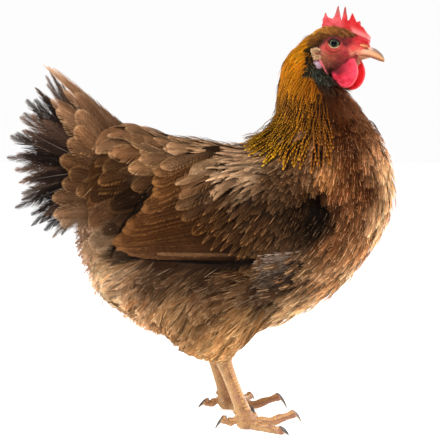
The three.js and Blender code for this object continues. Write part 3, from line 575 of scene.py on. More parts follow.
def bare_weight(local):
    """1 where no feathers cover the head, between the brow and the jaw."""
    x, _, z = split(local)
    brow = np.interp(x, [-8, 4, 18, 32, 40], [372, 381, 382.5, 381, 386])
    jaw = np.interp(x, [-8, 6, 14, 26, 44], [362, 348, 346, 349, 355])
    ear = np.interp(z, [340, 356, 372, 384], [4, -7, -6, 0])
    return smooth(brow - z, -0.8, 0.8) * smooth(z - jaw, -1, 1) * smooth(x - ear, -1, 1)


def face_relief(local):
    """How far the face's skin stands out, or in, at places in the head's frame."""
    x, y, z = split(local)
    far = np.hypot((x - EYE["x"]) / 1.12, z - EYE["z"])
    kinds = (SOCKET, LID_FOLD, EYE_BAG, LID_GROOVE)
    rings = [rise * ridge(far, radius, half) for radius, half, rise in kinds]
    rings[2] = rings[2] * smooth(EYE["z"] - z, -2, 4)
    brow = ridge(z, EYE["z"] + 8.5 - 0.03 * (x - 16) ** 2, 1.8) * smooth(x, 4, 10) * smooth(-x, -30, -24)
    creases = np.sin(1.9 * (z + 0.35 * x) + 1.3 * np.sin(0.5 * x)) * np.sin(0.9 * x - 0.5 * z)
    folds = 0.28 * creases * smooth(EYE["z"] - 5 - z, -3, 5)
    return (sum(rings) + brow + folds) * smooth(np.abs(y), 3, 7)


def on_face(points):
    """1 on the bare face, at places in the bird's frame."""
    return face_weight(unturn_head(points)) * smooth(points[..., 2], 336, 342)


def make_skin():
    """The bird's skin under its coat: body, head, thighs, wings and tail as one surface."""
    body = tube(BODY, 90, 64, body_depth)
    head = in_head(tube(HEAD, 40, 40, -0.6))
    thighs = [tube(thigh_table(leg), 30, 32, -4.0) for leg in LEGS]
    plates = [wing_plate(side) for _, side in SIDES]
    mesh = remeshed("skin", join(body, head, *thighs, *plates, tail_core()), SKIN_VOXEL)
    points = mesh_points(mesh)
    points = relax(mesh, points, 14, 1 - on_face(points))
    place_points(mesh, relax(mesh, points, 3))
    refine_face(mesh)
    return mesh


def refine_face(mesh):
    """Finer faces on the bare skin, laid on the head's own form with its folds."""
    for _ in range(2):
        work = bmesh.new()
        work.from_mesh(mesh)
        edges = []
        for edge in work.edges:
            middle = (edge.verts[0].co + edge.verts[1].co) / 2
            place = np.array(middle) / MM - (0, MIDDLE_Y, 0)
            if place[2] > 335 and face_weight(unturn_head(place)) > 0.02:
                edges.append(edge)
        bmesh.ops.subdivide_edges(work, edges=edges, cuts=1, use_grid_fill=True)
        bmesh.ops.triangulate(work, faces=[face for face in work.faces if len(face.verts) > 4])
        work.to_mesh(mesh)
        work.free()
    points = mesh_points(mesh)
    weight = on_face(points)
    smoother = relax(mesh, points, 4, weight)
    head_points, head_faces = tube(HEAD, 120, 120)
    tree = BVHTree.FromPolygons(head_points.tolist(), head_faces)
    for i in np.flatnonzero(weight > 0):
        place = unturn_head(smoother[i])
        spot, normal, _, far = tree.find_nearest(place)
        if spot is None or far > 4:
            continue
        spot, normal = np.array(spot), np.array(normal)
        if normal @ (place - HEAD_MIDDLE) < 0:
            normal = -normal
        target = spot + normal * float(face_relief(spot))
        smoother[i] = turn_head(blend(place, target, weight[i]))
    place_points(mesh, smoother)


def along_surface(ways, normals):
    """Directions laid flat on a surface with these normals."""
    return unit(ways - (ways * normals).sum(1, keepdims=True) * normals)


class Hide:
    """The skin as something to lay feathers on."""

    def __init__(self, mesh):
        self.points = mesh_points(mesh)
        self.triangles = triangles_of(mesh)
        self.normals = unit(relax(mesh, point_normals(self.points, self.triangles), 10))
        self.tree = BVHTree.FromPolygons(self.points.tolist(), self.triangles.tolist())

    def nearest(self, places):
        """Places on the skin and its normals there."""
        found = np.empty((len(places), 3))
        index = np.empty(len(places), int)
        for i, place in enumerate(places):
            found[i], _, index[i], _ = self.tree.find_nearest(place)
        corners = self.triangles[index]
        a, b, c = (self.points[corners[:, k]] for k in range(3))
        whole = np.linalg.norm(np.cross(b - a, c - a), axis=1) + 1e-12
        u = np.linalg.norm(np.cross(c - b, found - b), axis=1) / whole
        v = np.linalg.norm(np.cross(a - c, found - c), axis=1) / whole
        weights = np.stack([u, v, np.clip(1 - u - v, 0, 1)], 1)[..., None]
        return found, unit((self.normals[corners] * weights).sum(1))

    def scatter(self, spacing_at, random, tries=9):
        """Places on the skin, each as far from the others as spacing_at gives; 0 leaves a place bare."""
        a, b, c = (self.points[self.triangles[:, k]] for k in range(3))
        area = np.linalg.norm(np.cross(b - a, c - a), axis=1) / 2
        gap = spacing_at((a + b + c) / 3)
        wanted = np.where(gap > 0, area / np.maximum(gap, 0.5) ** 2, 0)
        total = int(wanted.sum() * tries)
        face = random.choice(len(area), total, p=wanted / wanted.sum())
        u, v = random.random((2, total, 1))
        flip = u + v > 1
        u, v = np.where(flip, 1 - u, u), np.where(flip, 1 - v, v)
        places = a[face] + u * (b[face] - a[face]) + v * (c[face] - a[face])
        gap = spacing_at(places)
        places, gap = places[gap > 0], gap[gap > 0]
        tree = KDTree(len(places))
        for i, place in enumerate(places):
            tree.insert(place, i)
        tree.balance()
        taken = np.zeros(len(places), bool)
        kept = []
        for i, place in enumerate(places):
            if taken[i]:
                continue
            kept.append(i)
            for _, j, _ in tree.find_range(place, gap[i]):
                taken[j] = True
        return places[kept]

    def walk(self, roots, headings, lengths, steps=6):
        """Paths over the skin from roots: places, and normals there."""
        spots, normals = self.nearest(roots)
        ahead = along_surface(headings, normals)
        path, facing = [spots], [normals]
        stride = (lengths / (steps - 1))[:, None]
        for _ in range(steps - 1):
            spots, normals = self.nearest(spots + ahead * stride)
            ahead = along_surface(ahead, normals)
            path.append(spots)
            facing.append(normals)
        return np.stack(path, 1), np.stack(facing, 1)

    def stand_up(self, roots, headings, lengths, stand, steps=6):
        """Straight paths that leave the skin at a slope: places, and normals there."""
        spots, normals = self.nearest(roots)
        ahead = along_surface(headings, normals)
        run = unit(ahead + stand * normals) * lengths[:, None]
        path = spots[:, None] + run[:, None] * np.linspace(0, 1, steps)[:, None]
        return path, np.repeat(unit(normals - stand * ahead)[:, None], steps, 1)

    def bend_across(self, path, facing, reach):
        """The skin's curvature across each path, from places at reach to either side."""
        ahead = unit(np.gradient(path, axis=1))
        across = unit(np.cross(facing, ahead))
        drop = 0
        for sign in (-1, 1):
            places = path + sign * reach[:, None, None] * across
            spots, _ = self.nearest(places.reshape(-1, 3))
            drop = drop - ((spots.reshape(path.shape) - path) * facing).sum(-1)
        return np.clip(drop / reach[:, None] ** 2, -0.01, 0.05)


# ---------------------------------------------------------------- feathers
# Outlines of vanes: width at the root, how fast it widens, where it narrows, and the curve to the tip
VANE_KINDS = {
    "contour": (0.55, 1.2, 0.45, 2.6, 0.5),
    "lance": (0.5, 1.8, 0.25, 1, 0.62),
    "blade": (0.3, 3, 0.62, 1, 0.5),
    "quill": (0.3, 3, 0.8, 2, 0.5),
    "down": (0.6, 0.8, 0.5, 2, 0.5),
}


def vane_outline(kind, a):
    """Half a vane's width, of its widest, at shares along its shaft."""
    start, swell, waist, power, tip = VANE_KINDS[kind]
    a = np.clip(a, 0, 1)
    fall = np.maximum(a - waist, 0) ** power / (1 - waist) ** power
    return np.minimum(start + swell * a, 1) * (1 - fall) ** tip


class Vane:
    """One feather's barbs on a flat field: a along the shaft, b across in half widths, h above it."""

    def __init__(self, kind, barbs, angles, seed, ragged=0.1, gap=0.12, aspect=0.3, waver=0.0, bare=0.04,
                 segments=2, clump=0, shaft=0.045):
        random = np.random.default_rng(seed)
        clumps = random.uniform(-1, 1, (2, barbs + 1, 2))
        rows = []
        step = (1 - bare) / barbs
        shares = np.linspace(0, 1, segments + 1)
        thick = step * np.array([1.06] + [1 - gap] * (segments - 1) + [0.3])
        for sign in (-1, 1):
            for k in range(barbs):
                root = bare + step * (k + 0.15 * random.random())
                lean = math.radians(blend(*angles, (k / barbs) ** 1.6))
                lean *= 1 + 0.10 * (random.random() - 0.5)
                lean_shift, far_shift = 0, 0
                if clump:
                    lean_shift, far_shift = clumps[int(sign > 0), int((k + 2 * sign) // clump)]
                lean *= 1 + 0.22 * lean_shift
                far = self.barb_reach(kind, root, lean, aspect)
                far *= 1 - ragged * random.random() ** 2 + 0.5 * ragged * random.random()
                far *= 1 + 0.16 * far_shift
                sway = waver * (random.random() - 0.5)
                mid_a = root + far * shares * math.cos(lean) * aspect
                mid_b = sign * far * (shares * math.sin(lean) + sway * shares**2)
                lift = 0.10 * (random.random() - 0.5) * np.ones(segments + 1)
                tilt = 0.16 * (random.random() - 0.3)
                for edge in (-0.5, 0.5):
                    rows.append((mid_a + edge * thick, mid_b, (lift + edge * tilt) * shares, shares * sign))
        self.a, self.b, self.h, self.edge = np.concatenate(rows, axis=1)
        strips = grid_faces(2, segments + 1, False)
        starts = np.arange(2 * barbs)[:, None, None] * 2 * (segments + 1)
        faces = strips[None] + starts
        faces[barbs:] = faces[barbs:, :, ::-1]
        self.faces = faces.reshape(-1, 4)
        self.add_shaft(shaft)

    @staticmethod
    def barb_reach(kind, root, lean, aspect):
        """How far a barb runs before it meets the vane's outline."""
        run = np.linspace(0, 3.0, 90)
        reach_a = root + run * math.cos(lean) * aspect
        inside = (run * math.sin(lean) <= vane_outline(kind, reach_a)) & (reach_a <= 1.0)
        return run[np.flatnonzero(inside)[-1]] if inside.any() else 0.05

    def add_shaft(self, half, rings=5):
        """A shaft as a low ridge down the middle."""
        a = np.repeat(np.linspace(0, 0.97, rings), 3)
        taper = np.repeat(np.linspace(1, 0.25, rings), 3)
        b = np.tile([-half, 0, half], rings) * taper
        h = np.tile([0.02, 0.22, 0.02], rings) * taper
        self.shaft_from = len(self.a)
        self.a = np.concatenate([self.a, a])
        self.b = np.concatenate([self.b, b])
        self.h = np.concatenate([self.h, h + 0.03])
        self.edge = np.concatenate([self.edge, b * 0])
        self.faces = np.vstack([self.faces, self.shaft_from + grid_faces(rings, 3, False)[:, ::-1]])


# The values that a feather's finish reads, and the kind of each
VALUES = {"tone": "FLOAT_COLOR", "edge_tone": "FLOAT_COLOR", "chance": "FLOAT", "shaft": "FLOAT",
          "core": "FLOAT"}
BAKE_PATCH = 0.003  # how much of the unwrap a feather takes


class Plumage:
    """Feathers gathered for one piece: points, faces, maps and values."""

    def __init__(self, name):
        self.name = name
        self.rows = {key: [] for key in ("points", "faces", "vane", "bake", *VALUES)}
        self.count = 0

    def lay(self, vane, path, facing, widths, bend, rise, tones, edge_tones, bake, random, twist=None,
            camber=0.1, core=1.0):
        """Feathers of one vane along paths (n, steps, 3) with normals, half widths and height profiles.

        rise is a function of the share along the shaft that gives (n, points) heights."""
        n, steps = path.shape[:2]
        size = len(vane.a)
        ahead = unit(np.gradient(path, axis=1))
        across = unit(np.cross(facing, ahead))
        facing = np.cross(ahead, across)
        if twist is not None:
            turn = twist[:, None, None]
            across, facing = (across * np.cos(turn) + facing * np.sin(turn),
                              facing * np.cos(turn) - across * np.sin(turn))
        place = np.clip(vane.a, -0.05, 1.1) * (steps - 1)
        i = np.clip(np.floor(place).astype(int), 0, steps - 2)
        f = (place - i)[None, :, None]
        at = blend(path[:, i], path[:, i + 1], f)
        side = unit(blend(across[:, i], across[:, i + 1], np.clip(f, 0, 1)))
        out = unit(blend(facing[:, i], facing[:, i + 1], np.clip(f, 0, 1)))
        curve = blend(bend[:, i], bend[:, i + 1], f[..., 0])
        b = vane.b[None, :] * widths[:, None]
        height = rise(np.clip(vane.a, 0, 1)) + vane.h[None, :] * np.minimum(widths[:, None] / 6, 1.4)
        height = height - 0.5 * curve * b**2 - camber * vane.b[None, :] ** 2 * widths[:, None]
        flat = np.stack([np.clip(vane.a, 0, 1), vane.edge * 0.5 + 0.5], 1)
        starts = self.count + np.arange(n)[:, None, None] * size
        self.count += n * size
        made = {
            "points": (at + side * b[..., None] + out * height[..., None]).reshape(-1, 3),
            "faces": (vane.faces[None] + starts).reshape(-1, 4),
            "vane": np.tile(flat, (n, 1)),
            "bake": (bake[:, None, :] + ((flat - 0.5) * BAKE_PATCH)[None]).reshape(-1, 2),
            "tone": np.repeat(tones, size, 0),
            "edge_tone": np.repeat(edge_tones, size, 0),
            "chance": np.repeat(random.random(n), size),
            "shaft": np.tile(np.arange(size) >= vane.shaft_from, n),
            "core": np.repeat(np.broadcast_to(core, n), size),
        }
        for key, rows in made.items():
            self.rows[key].append(rows)

    def mesh(self):
        """All the feathers as one mesh."""
        made = {key: np.concatenate(rows) for key, rows in self.rows.items()}
        mesh = new_mesh(self.name, made["points"], made["faces"])
        add_map(mesh, "OFBake", made["bake"])
        add_map(mesh, "Vane", made["vane"]).active_render = True
        for key, kind in VALUES.items():
            add_values(mesh, key, made[key], kind)
        return mesh


BAKE_STEPS = np.linspace(0, THROAT, 320)


def bake_places(points):
    """Places of feather roots on an unwrap of the skin: along the body, and round it."""
    row = spline_rows(BODY, BAKE_STEPS)
    middle = (row[:, 0:2] + row[:, 2:4]) / 2
    nearest = np.linalg.norm(points[:, None, [0, 2]] - middle[None], axis=2).argmin(1)
    t = BAKE_STEPS[nearest]
    row = spline_rows(BODY, t)
    up = unit(row[:, 0:2] - row[:, 2:4])
    rise = ((points[:, [0, 2]] - middle[nearest]) * up).sum(1)
    angle = np.arctan2(points[:, 1], rise) / (2 * math.pi) + 0.5
    return np.stack([0.01 + 0.98 * t / THROAT, 0.01 + 0.98 * angle], 1)


# ---------------------------------------------------------------- colours of the coat
def paint(red, green, blue):
    """A paint's 0-255 values as light."""
    values = np.array([red, green, blue]) / 255
    return np.where(values <= 0.04045, values / 12.92, ((values + 0.055) / 1.055) ** 2.4)


# Tones by place in the side view: [x, z, feather tone, tone at its edge].
# The near-black anchors in the pocket between breast and wing (x 88 to 112, z 192 to 218) and in the strip
# behind the wing (x -86 to -88, z 172 to 184) are painted shade. The pale anchors along the breast's front
# and the belly's lower edge are partly the coat's own buff and partly painted rim light.
COAT_TONES = (
    (-150, 340, (128, 90, 64), (200, 156, 118)), (-90, 285, (134, 94, 64), (200, 154, 110)),
    (-60, 262, (124, 86, 56), (196, 148, 100)), (-40, 280, (136, 98, 68), (198, 154, 114)),
    (20, 276, (172, 130, 96), (222, 176, 136)), (60, 280, (110, 82, 58), (166, 126, 88)),
    (-104, 244, (78, 46, 22), (168, 116, 64)), (-70, 222, (34, 19, 9), (96, 62, 30)),
    (-96, 224, (48, 26, 12), (128, 84, 44)), (-112, 215, (104, 68, 40), (176, 126, 80)),
    (-40, 236, (92, 56, 28), (170, 116, 60)), (10, 248, (192, 148, 110), (232, 190, 150)),
    (40, 246, (164, 126, 92), (214, 170, 130)), (-20, 262, (152, 114, 80), (208, 162, 118)),
    (-60, 195, (62, 34, 15), (126, 80, 38)), (0, 200, (54, 29, 12), (132, 84, 36)),
    (-40, 170, (80, 47, 22), (128, 80, 38)), (20, 172, (50, 28, 12), (132, 86, 40)),
    (50, 208, (66, 42, 23), (124, 88, 52)), (62, 236, (86, 58, 36), (144, 106, 72)),
    (88, 205, (42, 27, 15), (92, 64, 38)), (108, 218, (8, 5, 3), (20, 13, 8)),
    (112, 208, (14, 9, 5), (40, 26, 16)), (104, 192, (26, 17, 10), (80, 60, 44)),
    (100, 246, (116, 76, 48), (176, 128, 88)), (114, 238, (164, 104, 58), (220, 156, 94)),
    (130, 225, (116, 64, 32), (196, 134, 88)), (142, 250, (88, 42, 16), (176, 112, 64)),
    (155, 225, (74, 36, 14), (158, 96, 50)), (135, 285, (66, 29, 10), (150, 88, 44)),
    (150, 275, (84, 42, 18), (178, 114, 68)), (165, 262, (166, 106, 66), (230, 176, 128)),
    (182, 250, (222, 162, 108), (250, 208, 160)), (188, 215, (226, 168, 114), (252, 212, 166)),
    (140, 197, (110, 64, 35), (184, 128, 82)), (120, 175, (118, 72, 40), (190, 136, 90)),
    (150, 165, (160, 102, 60), (228, 174, 122)), (175, 190, (222, 164, 114), (252, 214, 166)),
    (155, 145, (232, 184, 136), (255, 226, 184)), (120, 135, (170, 116, 74), (232, 184, 134)),
    (125, 112, (232, 186, 138), (255, 228, 186)), (90, 105, (216, 166, 116), (248, 212, 162)),
    (90, 140, (112, 78, 50), (180, 140, 102)), (50, 130, (84, 58, 38), (156, 124, 92)),
    (0, 140, (74, 50, 31), (148, 114, 82)), (-50, 138, (84, 57, 37), (152, 116, 84)),
    (-84, 138, (178, 134, 96), (234, 194, 152)), (-100, 150, (200, 154, 110), (246, 214, 176)),
    (-90, 118, (204, 158, 114), (246, 214, 174)), (-118, 190, (132, 96, 70), (206, 170, 136)),
    (-86, 184, (20, 13, 8), (50, 36, 24)), (-88, 172, (22, 15, 10), (54, 40, 28)),
    (-104, 176, (150, 112, 80), (216, 176, 136)), (0, 108, (112, 76, 48), (186, 144, 100)),
    (-40, 102, (170, 122, 78), (232, 188, 138)), (-100, 137, (212, 164, 122), (250, 220, 186)),
    (-72, 140, (96, 66, 44), (176, 136, 100)), (-65, 94, (214, 162, 114), (246, 212, 170)),
    (-70, 112, (150, 106, 70), (220, 176, 130)), (30, 95, (176, 124, 76), (228, 182, 126)),
    (10, 74, (198, 142, 88), (236, 190, 134)),
)
# Ways feathers point, by place in the side view: [x, z, degrees up from straight ahead]
LIE = (
    (-150, 330, 142), (-110, 300, 152), (-70, 292, 162), (-30, 286, 170), (20, 282, 174), (60, 285, 180),
    (-60, 255, 192), (-110, 240, 204), (-120, 200, 200), (-40, 225, 205), (0, 232, 212), (40, 232, 224),
    (80, 225, 240), (-60, 185, 188), (0, 182, 200), (50, 186, 222), (85, 195, 236), (100, 240, 250),
    (105, 200, 228), (140, 330, 268), (165, 290, 264), (185, 240, 262), (150, 240, 258), (125, 250, 255),
    (182, 200, 248), (150, 200, 240), (122, 190, 222), (138, 172, 218), (162, 160, 230), (120, 135, 218),
    (85, 105, 213), (85, 158, 186), (60, 148, 200), (60, 100, 232), (20, 110, 242), (0, 150, 236),
    (-50, 150, 230), (-90, 170, 216), (-100, 130, 226), (-50, 110, 238), (0, 85, 245), (0, 70, 250),
    (20, 75, 247), (-115, 210, 196), (110, 350, 250), (90, 335, 252), (85, 300, 246), (125, 389, 196),
    (105, 380, 222),
)


HACKLE_LIE = (
    (68, 318, 262), (47, 280, 218), (62, 262, 240), (75, 250, 226), (88, 246, 214), (96, 298, 258),
    (106, 258, 264), (96, 330, 256), (82, 350, 244), (104, 382, 216), (98, 362, 232), (113, 320, 266),
    (118, 290, 268), (75, 290, 246), (85, 275, 240),
)
HACKLE_TONES = (
    (105, 388, (200, 122, 36), (240, 176, 80)), (92, 365, (210, 128, 18), (246, 184, 52)),
    (100, 345, (204, 112, 12), (244, 170, 36)), (80, 335, (186, 108, 14), (238, 172, 40)),
    (105, 325, (170, 92, 12), (222, 150, 36)), (90, 305, (136, 76, 16), (218, 150, 40)),
    (112, 300, (108, 56, 12), (186, 114, 34)), (70, 300, (150, 90, 14), (230, 168, 38)),
    (56, 278, (166, 100, 16), (240, 184, 44)), (66, 250, (206, 142, 16), (252, 206, 48)),
    (82, 255, (170, 104, 16), (236, 172, 44)), (96, 258, (136, 82, 20), (198, 136, 40)),
    (110, 258, (140, 76, 22), (200, 124, 46)),
)
THROAT_LIE = (
    (104, 352, 274), (112, 340, 290), (122, 330, 296), (132, 322, 288), (142, 318, 282), (125, 300, 274),
    (140, 290, 272), (120, 280, 268), (152, 300, 282), (160, 285, 276),
)
# Tones of the throat: the pale greenish edge tones on the black feathers high on the throat are a painted
# sheen
THROAT_TONES = (
    (103, 356, (26, 24, 14), (120, 120, 90)), (111, 342, (24, 26, 20), (164, 176, 150)),
    (119, 333, (26, 26, 20), (150, 156, 136)), (125, 328, (36, 18, 12), (110, 76, 54)),
    (116, 322, (44, 19, 7), (130, 70, 26)), (124, 304, (50, 21, 6), (130, 68, 26)),
    (132, 326, (44, 18, 8), (136, 78, 42)), (138, 330, (66, 31, 16), (196, 130, 84)),
    (130, 315, (46, 19, 7), (128, 66, 28)), (147, 322, (140, 76, 42), (232, 176, 128)),
    (141, 314, (66, 30, 13), (180, 112, 66)), (150, 304, (92, 46, 22), (204, 140, 92)),
    (162, 288, (158, 98, 60), (226, 172, 124)), (118, 280, (70, 32, 9), (156, 86, 30)),
    (136, 292, (58, 26, 8), (152, 86, 42)),
)
HEAD_LIE = (
    (33, 384, 148), (28, 379, 140), (20, 388, 165), (18, 382, 160), (8, 390, 178), (8, 380, 180),
    (-4, 389, 196), (-3, 377, 205), (-14, 384, 212), (-10, 368, 238), (-12, 354, 252), (-4, 346, 268),
    (6, 343, 280), (16, 341, 285), (26, 344, 280), (14, 358, 205), (8, 362, 200), (22, 356, 215),
    (34, 366, 190),
)
# Tones of the down at the outline: pale, partly the hen's own buff down and partly painted light shining
# through it
FRINGE_TONES = (
    (-118, 190, (132, 96, 72), (206, 170, 136)), (-112, 160, (160, 118, 88), (226, 190, 154)),
    (-104, 135, (216, 168, 124), (250, 222, 188)), (-80, 105, (214, 164, 118), (248, 216, 178)),
    (-40, 85, (190, 138, 92), (238, 196, 148)), (0, 74, (186, 132, 84), (234, 186, 134)),
    (25, 72, (170, 116, 70), (226, 176, 122)),
)
# Tones of the head's feathers, in the head's frame: the pale greenish edge tones on the black feathers under
# the ear are a painted sheen
HEAD_TONES = (
    (-18, 385, (226, 148, 40), (255, 204, 84)), (-8, 389, (236, 160, 60), (255, 212, 112)),
    (4, 391, (216, 138, 58), (252, 200, 112)), (15, 389, (140, 80, 34), (224, 160, 92)),
    (26, 385, (124, 70, 36), (222, 156, 96)), (34, 380, (130, 74, 44), (226, 166, 116)),
    (16, 384.5, (86, 44, 22), (176, 116, 66)), (4, 382, (80, 44, 22), (160, 104, 50)),
    (28, 379, (70, 32, 22), (166, 110, 66)), (1, 375, (44, 26, 14), (96, 62, 34)),
    (-6, 379, (104, 60, 26), (164, 104, 48)), (-3, 372, (34, 24, 16), (84, 62, 38)),
    (-10, 368, (22, 22, 12), (70, 64, 36)), (-12, 357, (22, 20, 12), (64, 58, 36)),
    (-8, 348, (26, 26, 18), (120, 124, 98)), (2, 344, (30, 24, 18), (130, 120, 94)),
    (12, 341, (40, 26, 20), (110, 84, 64)), (24, 343, (58, 32, 24), (160, 110, 78)),
    (8, 361, (140, 84, 56), (176, 116, 84)), (18, 358, (130, 72, 52), (170, 108, 80)),
    (30, 364, (60, 30, 24), (120, 70, 50)),
)


def by_place(anchors, points, power=4.2, soft=4.0):
    """Weights of anchors at places in the side view, by nearness."""
    spots = np.array([anchor[:2] for anchor in anchors], float)
    far = np.linalg.norm(points[:, None, [0, 2]] - spots[None], axis=2) + soft
    weights = far ** (-power)
    return weights / weights.sum(1, keepdims=True)


# Tones are pushed away from the middle one, as the blend of places evens them out
CONTRAST = {"middle": 0.09, "power": 0.25, "least": 0.5, "most": 1.3}


def coat_tones(points, random, spread=0.16, table=COAT_TONES):
    """A feather's tone and its edge's tone at points, by place and with some chance in them."""
    weights = by_place(table, points)
    tone, edge = (weights @ np.array([paint(*row[k]) for row in table]) for k in (2, 3))
    if table is COAT_TONES:
        push = (tone.mean(1, keepdims=True) / CONTRAST["middle"]) ** CONTRAST["power"]
        push = np.clip(push, CONTRAST["least"], CONTRAST["most"])
        tone, edge = tone * push, np.minimum(edge * push, 0.95)
    shift = 1 + spread * random.standard_normal((len(points), 1))
    warm = 1 + 0.05 * random.standard_normal((len(points), 1)) * np.array([[1, 0, -1]])
    return tone * np.clip(shift, 0.6, 1.5) * warm, edge * np.clip(shift, 0.7, 1.4)


def lie_of(points, random, spread=6.0, table=LIE):
    """The ways that feathers point at places of the side view, each turned a little by chance."""
    weights = by_place(table, points, 4)
    turns = np.radians([row[2] for row in table])
    x, z = weights @ np.cos(turns), weights @ np.sin(turns)
    angle = np.arctan2(z, x) + np.radians(spread) * random.standard_normal(len(points))
    return np.stack([np.cos(angle), np.zeros_like(angle), np.sin(angle)], 1)


# ---------------------------------------------------------------- materials
class Signal:
    """A socket of a node tree that arithmetic can be done on."""

    def __init__(self, graph, socket):
        self.graph = graph
        self.socket = socket

    def math(self, operation, *others):
        """This and others through a node that does arithmetic."""
        return self.graph.node("ShaderNodeMath", {"operation": operation}, dict(enumerate((self, *others))))

    def __add__(self, other):
        return self.math("ADD", other)

    __radd__ = __add__

    def __sub__(self, other):
        return self.math("SUBTRACT", other)

    def __rsub__(self, other):
        return (self * -1) + other

    def __mul__(self, other):
        return self.math("MULTIPLY", other)

    __rmul__ = __mul__

    def __abs__(self):
        return self.math("ABSOLUTE")

    def between(self, low, high):
        """0 below low, 1 above high, smooth between."""
        return self.graph.node("ShaderNodeMapRange", {"interpolation_type": "SMOOTHSTEP"},
                               {"Value": self, "From Min": low, "From Max": high})


class Graph:
    """A node tree that is built from signals."""

    def __init__(self, tree):
        self.tree = tree

    def node(self, kind, settings=None, sockets=None, output=0):
        """A node of any kind: its settings first, then the values or links of its sockets."""
        made = self.tree.nodes.new(kind)
        for name, value in (settings or {}).items():
            if name == "stops":
                self.set_stops(made.color_ramp, value)
            else:
                setattr(made, name, value)
        for name, value in (sockets or {}).items():
            if isinstance(value, Signal):
                self.tree.links.new(value.socket, made.inputs[name])
            else:
                made.inputs[name].default_value = value
        return Signal(self, made.outputs[output])

    @staticmethod
    def set_stops(ramp, stops):
        """A ramp's places and 0-255 tones."""
        while len(ramp.elements) < len(stops):
            ramp.elements.new(0.5)
        for element, (place, tone) in zip(ramp.elements, stops):
            element.position = place
            element.color = (*paint(*tone), 1)

    def vector(self, x, y, z=0.0):
        return self.node("ShaderNodeCombineXYZ", None, {0: x, 1: y, 2: z})

    def axis(self, vector, number):
        return self.node("ShaderNodeSeparateXYZ", None, {0: vector}, number)

    def scaled(self, vector, value):
        """A colour or a vector times a number."""
        return self.node("ShaderNodeVectorMath", {"operation": "SCALE"}, {0: vector, "Scale": value})


class Finish(Graph):
    """A material and its nodes."""

    def __init__(self, name, **shader):
        self.material = bpy.data.materials.new(name)
        self.material.use_nodes = True
        super().__init__(self.material.node_tree)
        self.shader = self.tree.nodes["Principled BSDF"]
        for socket, value in shader.items():
            self.shader.inputs[socket.replace("_", " ")].default_value = value

    def attribute(self, name, output="Fac"):
        """A value stored on the mesh."""
        return self.node("ShaderNodeAttribute", {"attribute_name": name}, output=output)

    def place(self):
        """The place on the bird itself."""
        return self.node("ShaderNodeTexCoord", output="Object")

    def map(self, name, axis):
        """One axis of a UV map."""
        return self.axis(self.node("ShaderNodeUVMap", {"uv_map": name}), axis)

    def noise(self, vector, scale, detail, rough=0.6):
        return self.node("ShaderNodeTexNoise", None,
                         {"Vector": vector, "Scale": scale, "Detail": detail, "Roughness": rough})

    def ramp(self, factor, *stops):
        return self.node("ShaderNodeValToRGB", {"stops": stops}, {0: factor})

    def mix(self, factor, first, second):
        """Two colours mixed; a plain colour is 0-255."""
        colours = [c if isinstance(c, Signal) else (*paint(*c), 1) for c in (first, second)]
        return self.node("ShaderNodeMix", {"data_type": "RGBA"}, {0: factor, 6: colours[0], 7: colours[1]}, 2)

    def layered(self, colour, layers):
        """A colour under others: [the value that shows it, how much, its tone, the value's limits if any]."""
        for name, much, tone, *limits in layers:
            share = self.attribute(name)
            if limits:
                share = share.between(*limits)
            colour = self.mix(share * much, colour, tone)
        return colour

    def bump(self, height, distance, strength):
        return self.node("ShaderNodeBump", None,
                         {"Height": height, "Distance": distance, "Strength": strength})

    def set(self, **signals):
        """Links signals to the shader's sockets, and gives the material."""
        for name, signal in signals.items():
            self.tree.links.new(signal.socket, self.shader.inputs[name.replace("_", " ")])
        return self.material


# the root's tone stands for the feather's dark downy base, and for painted shade in the gaps
SPECK_TONE, ROOT_AND_SHADE_TONE = (30, 19, 12), (26, 17, 11)


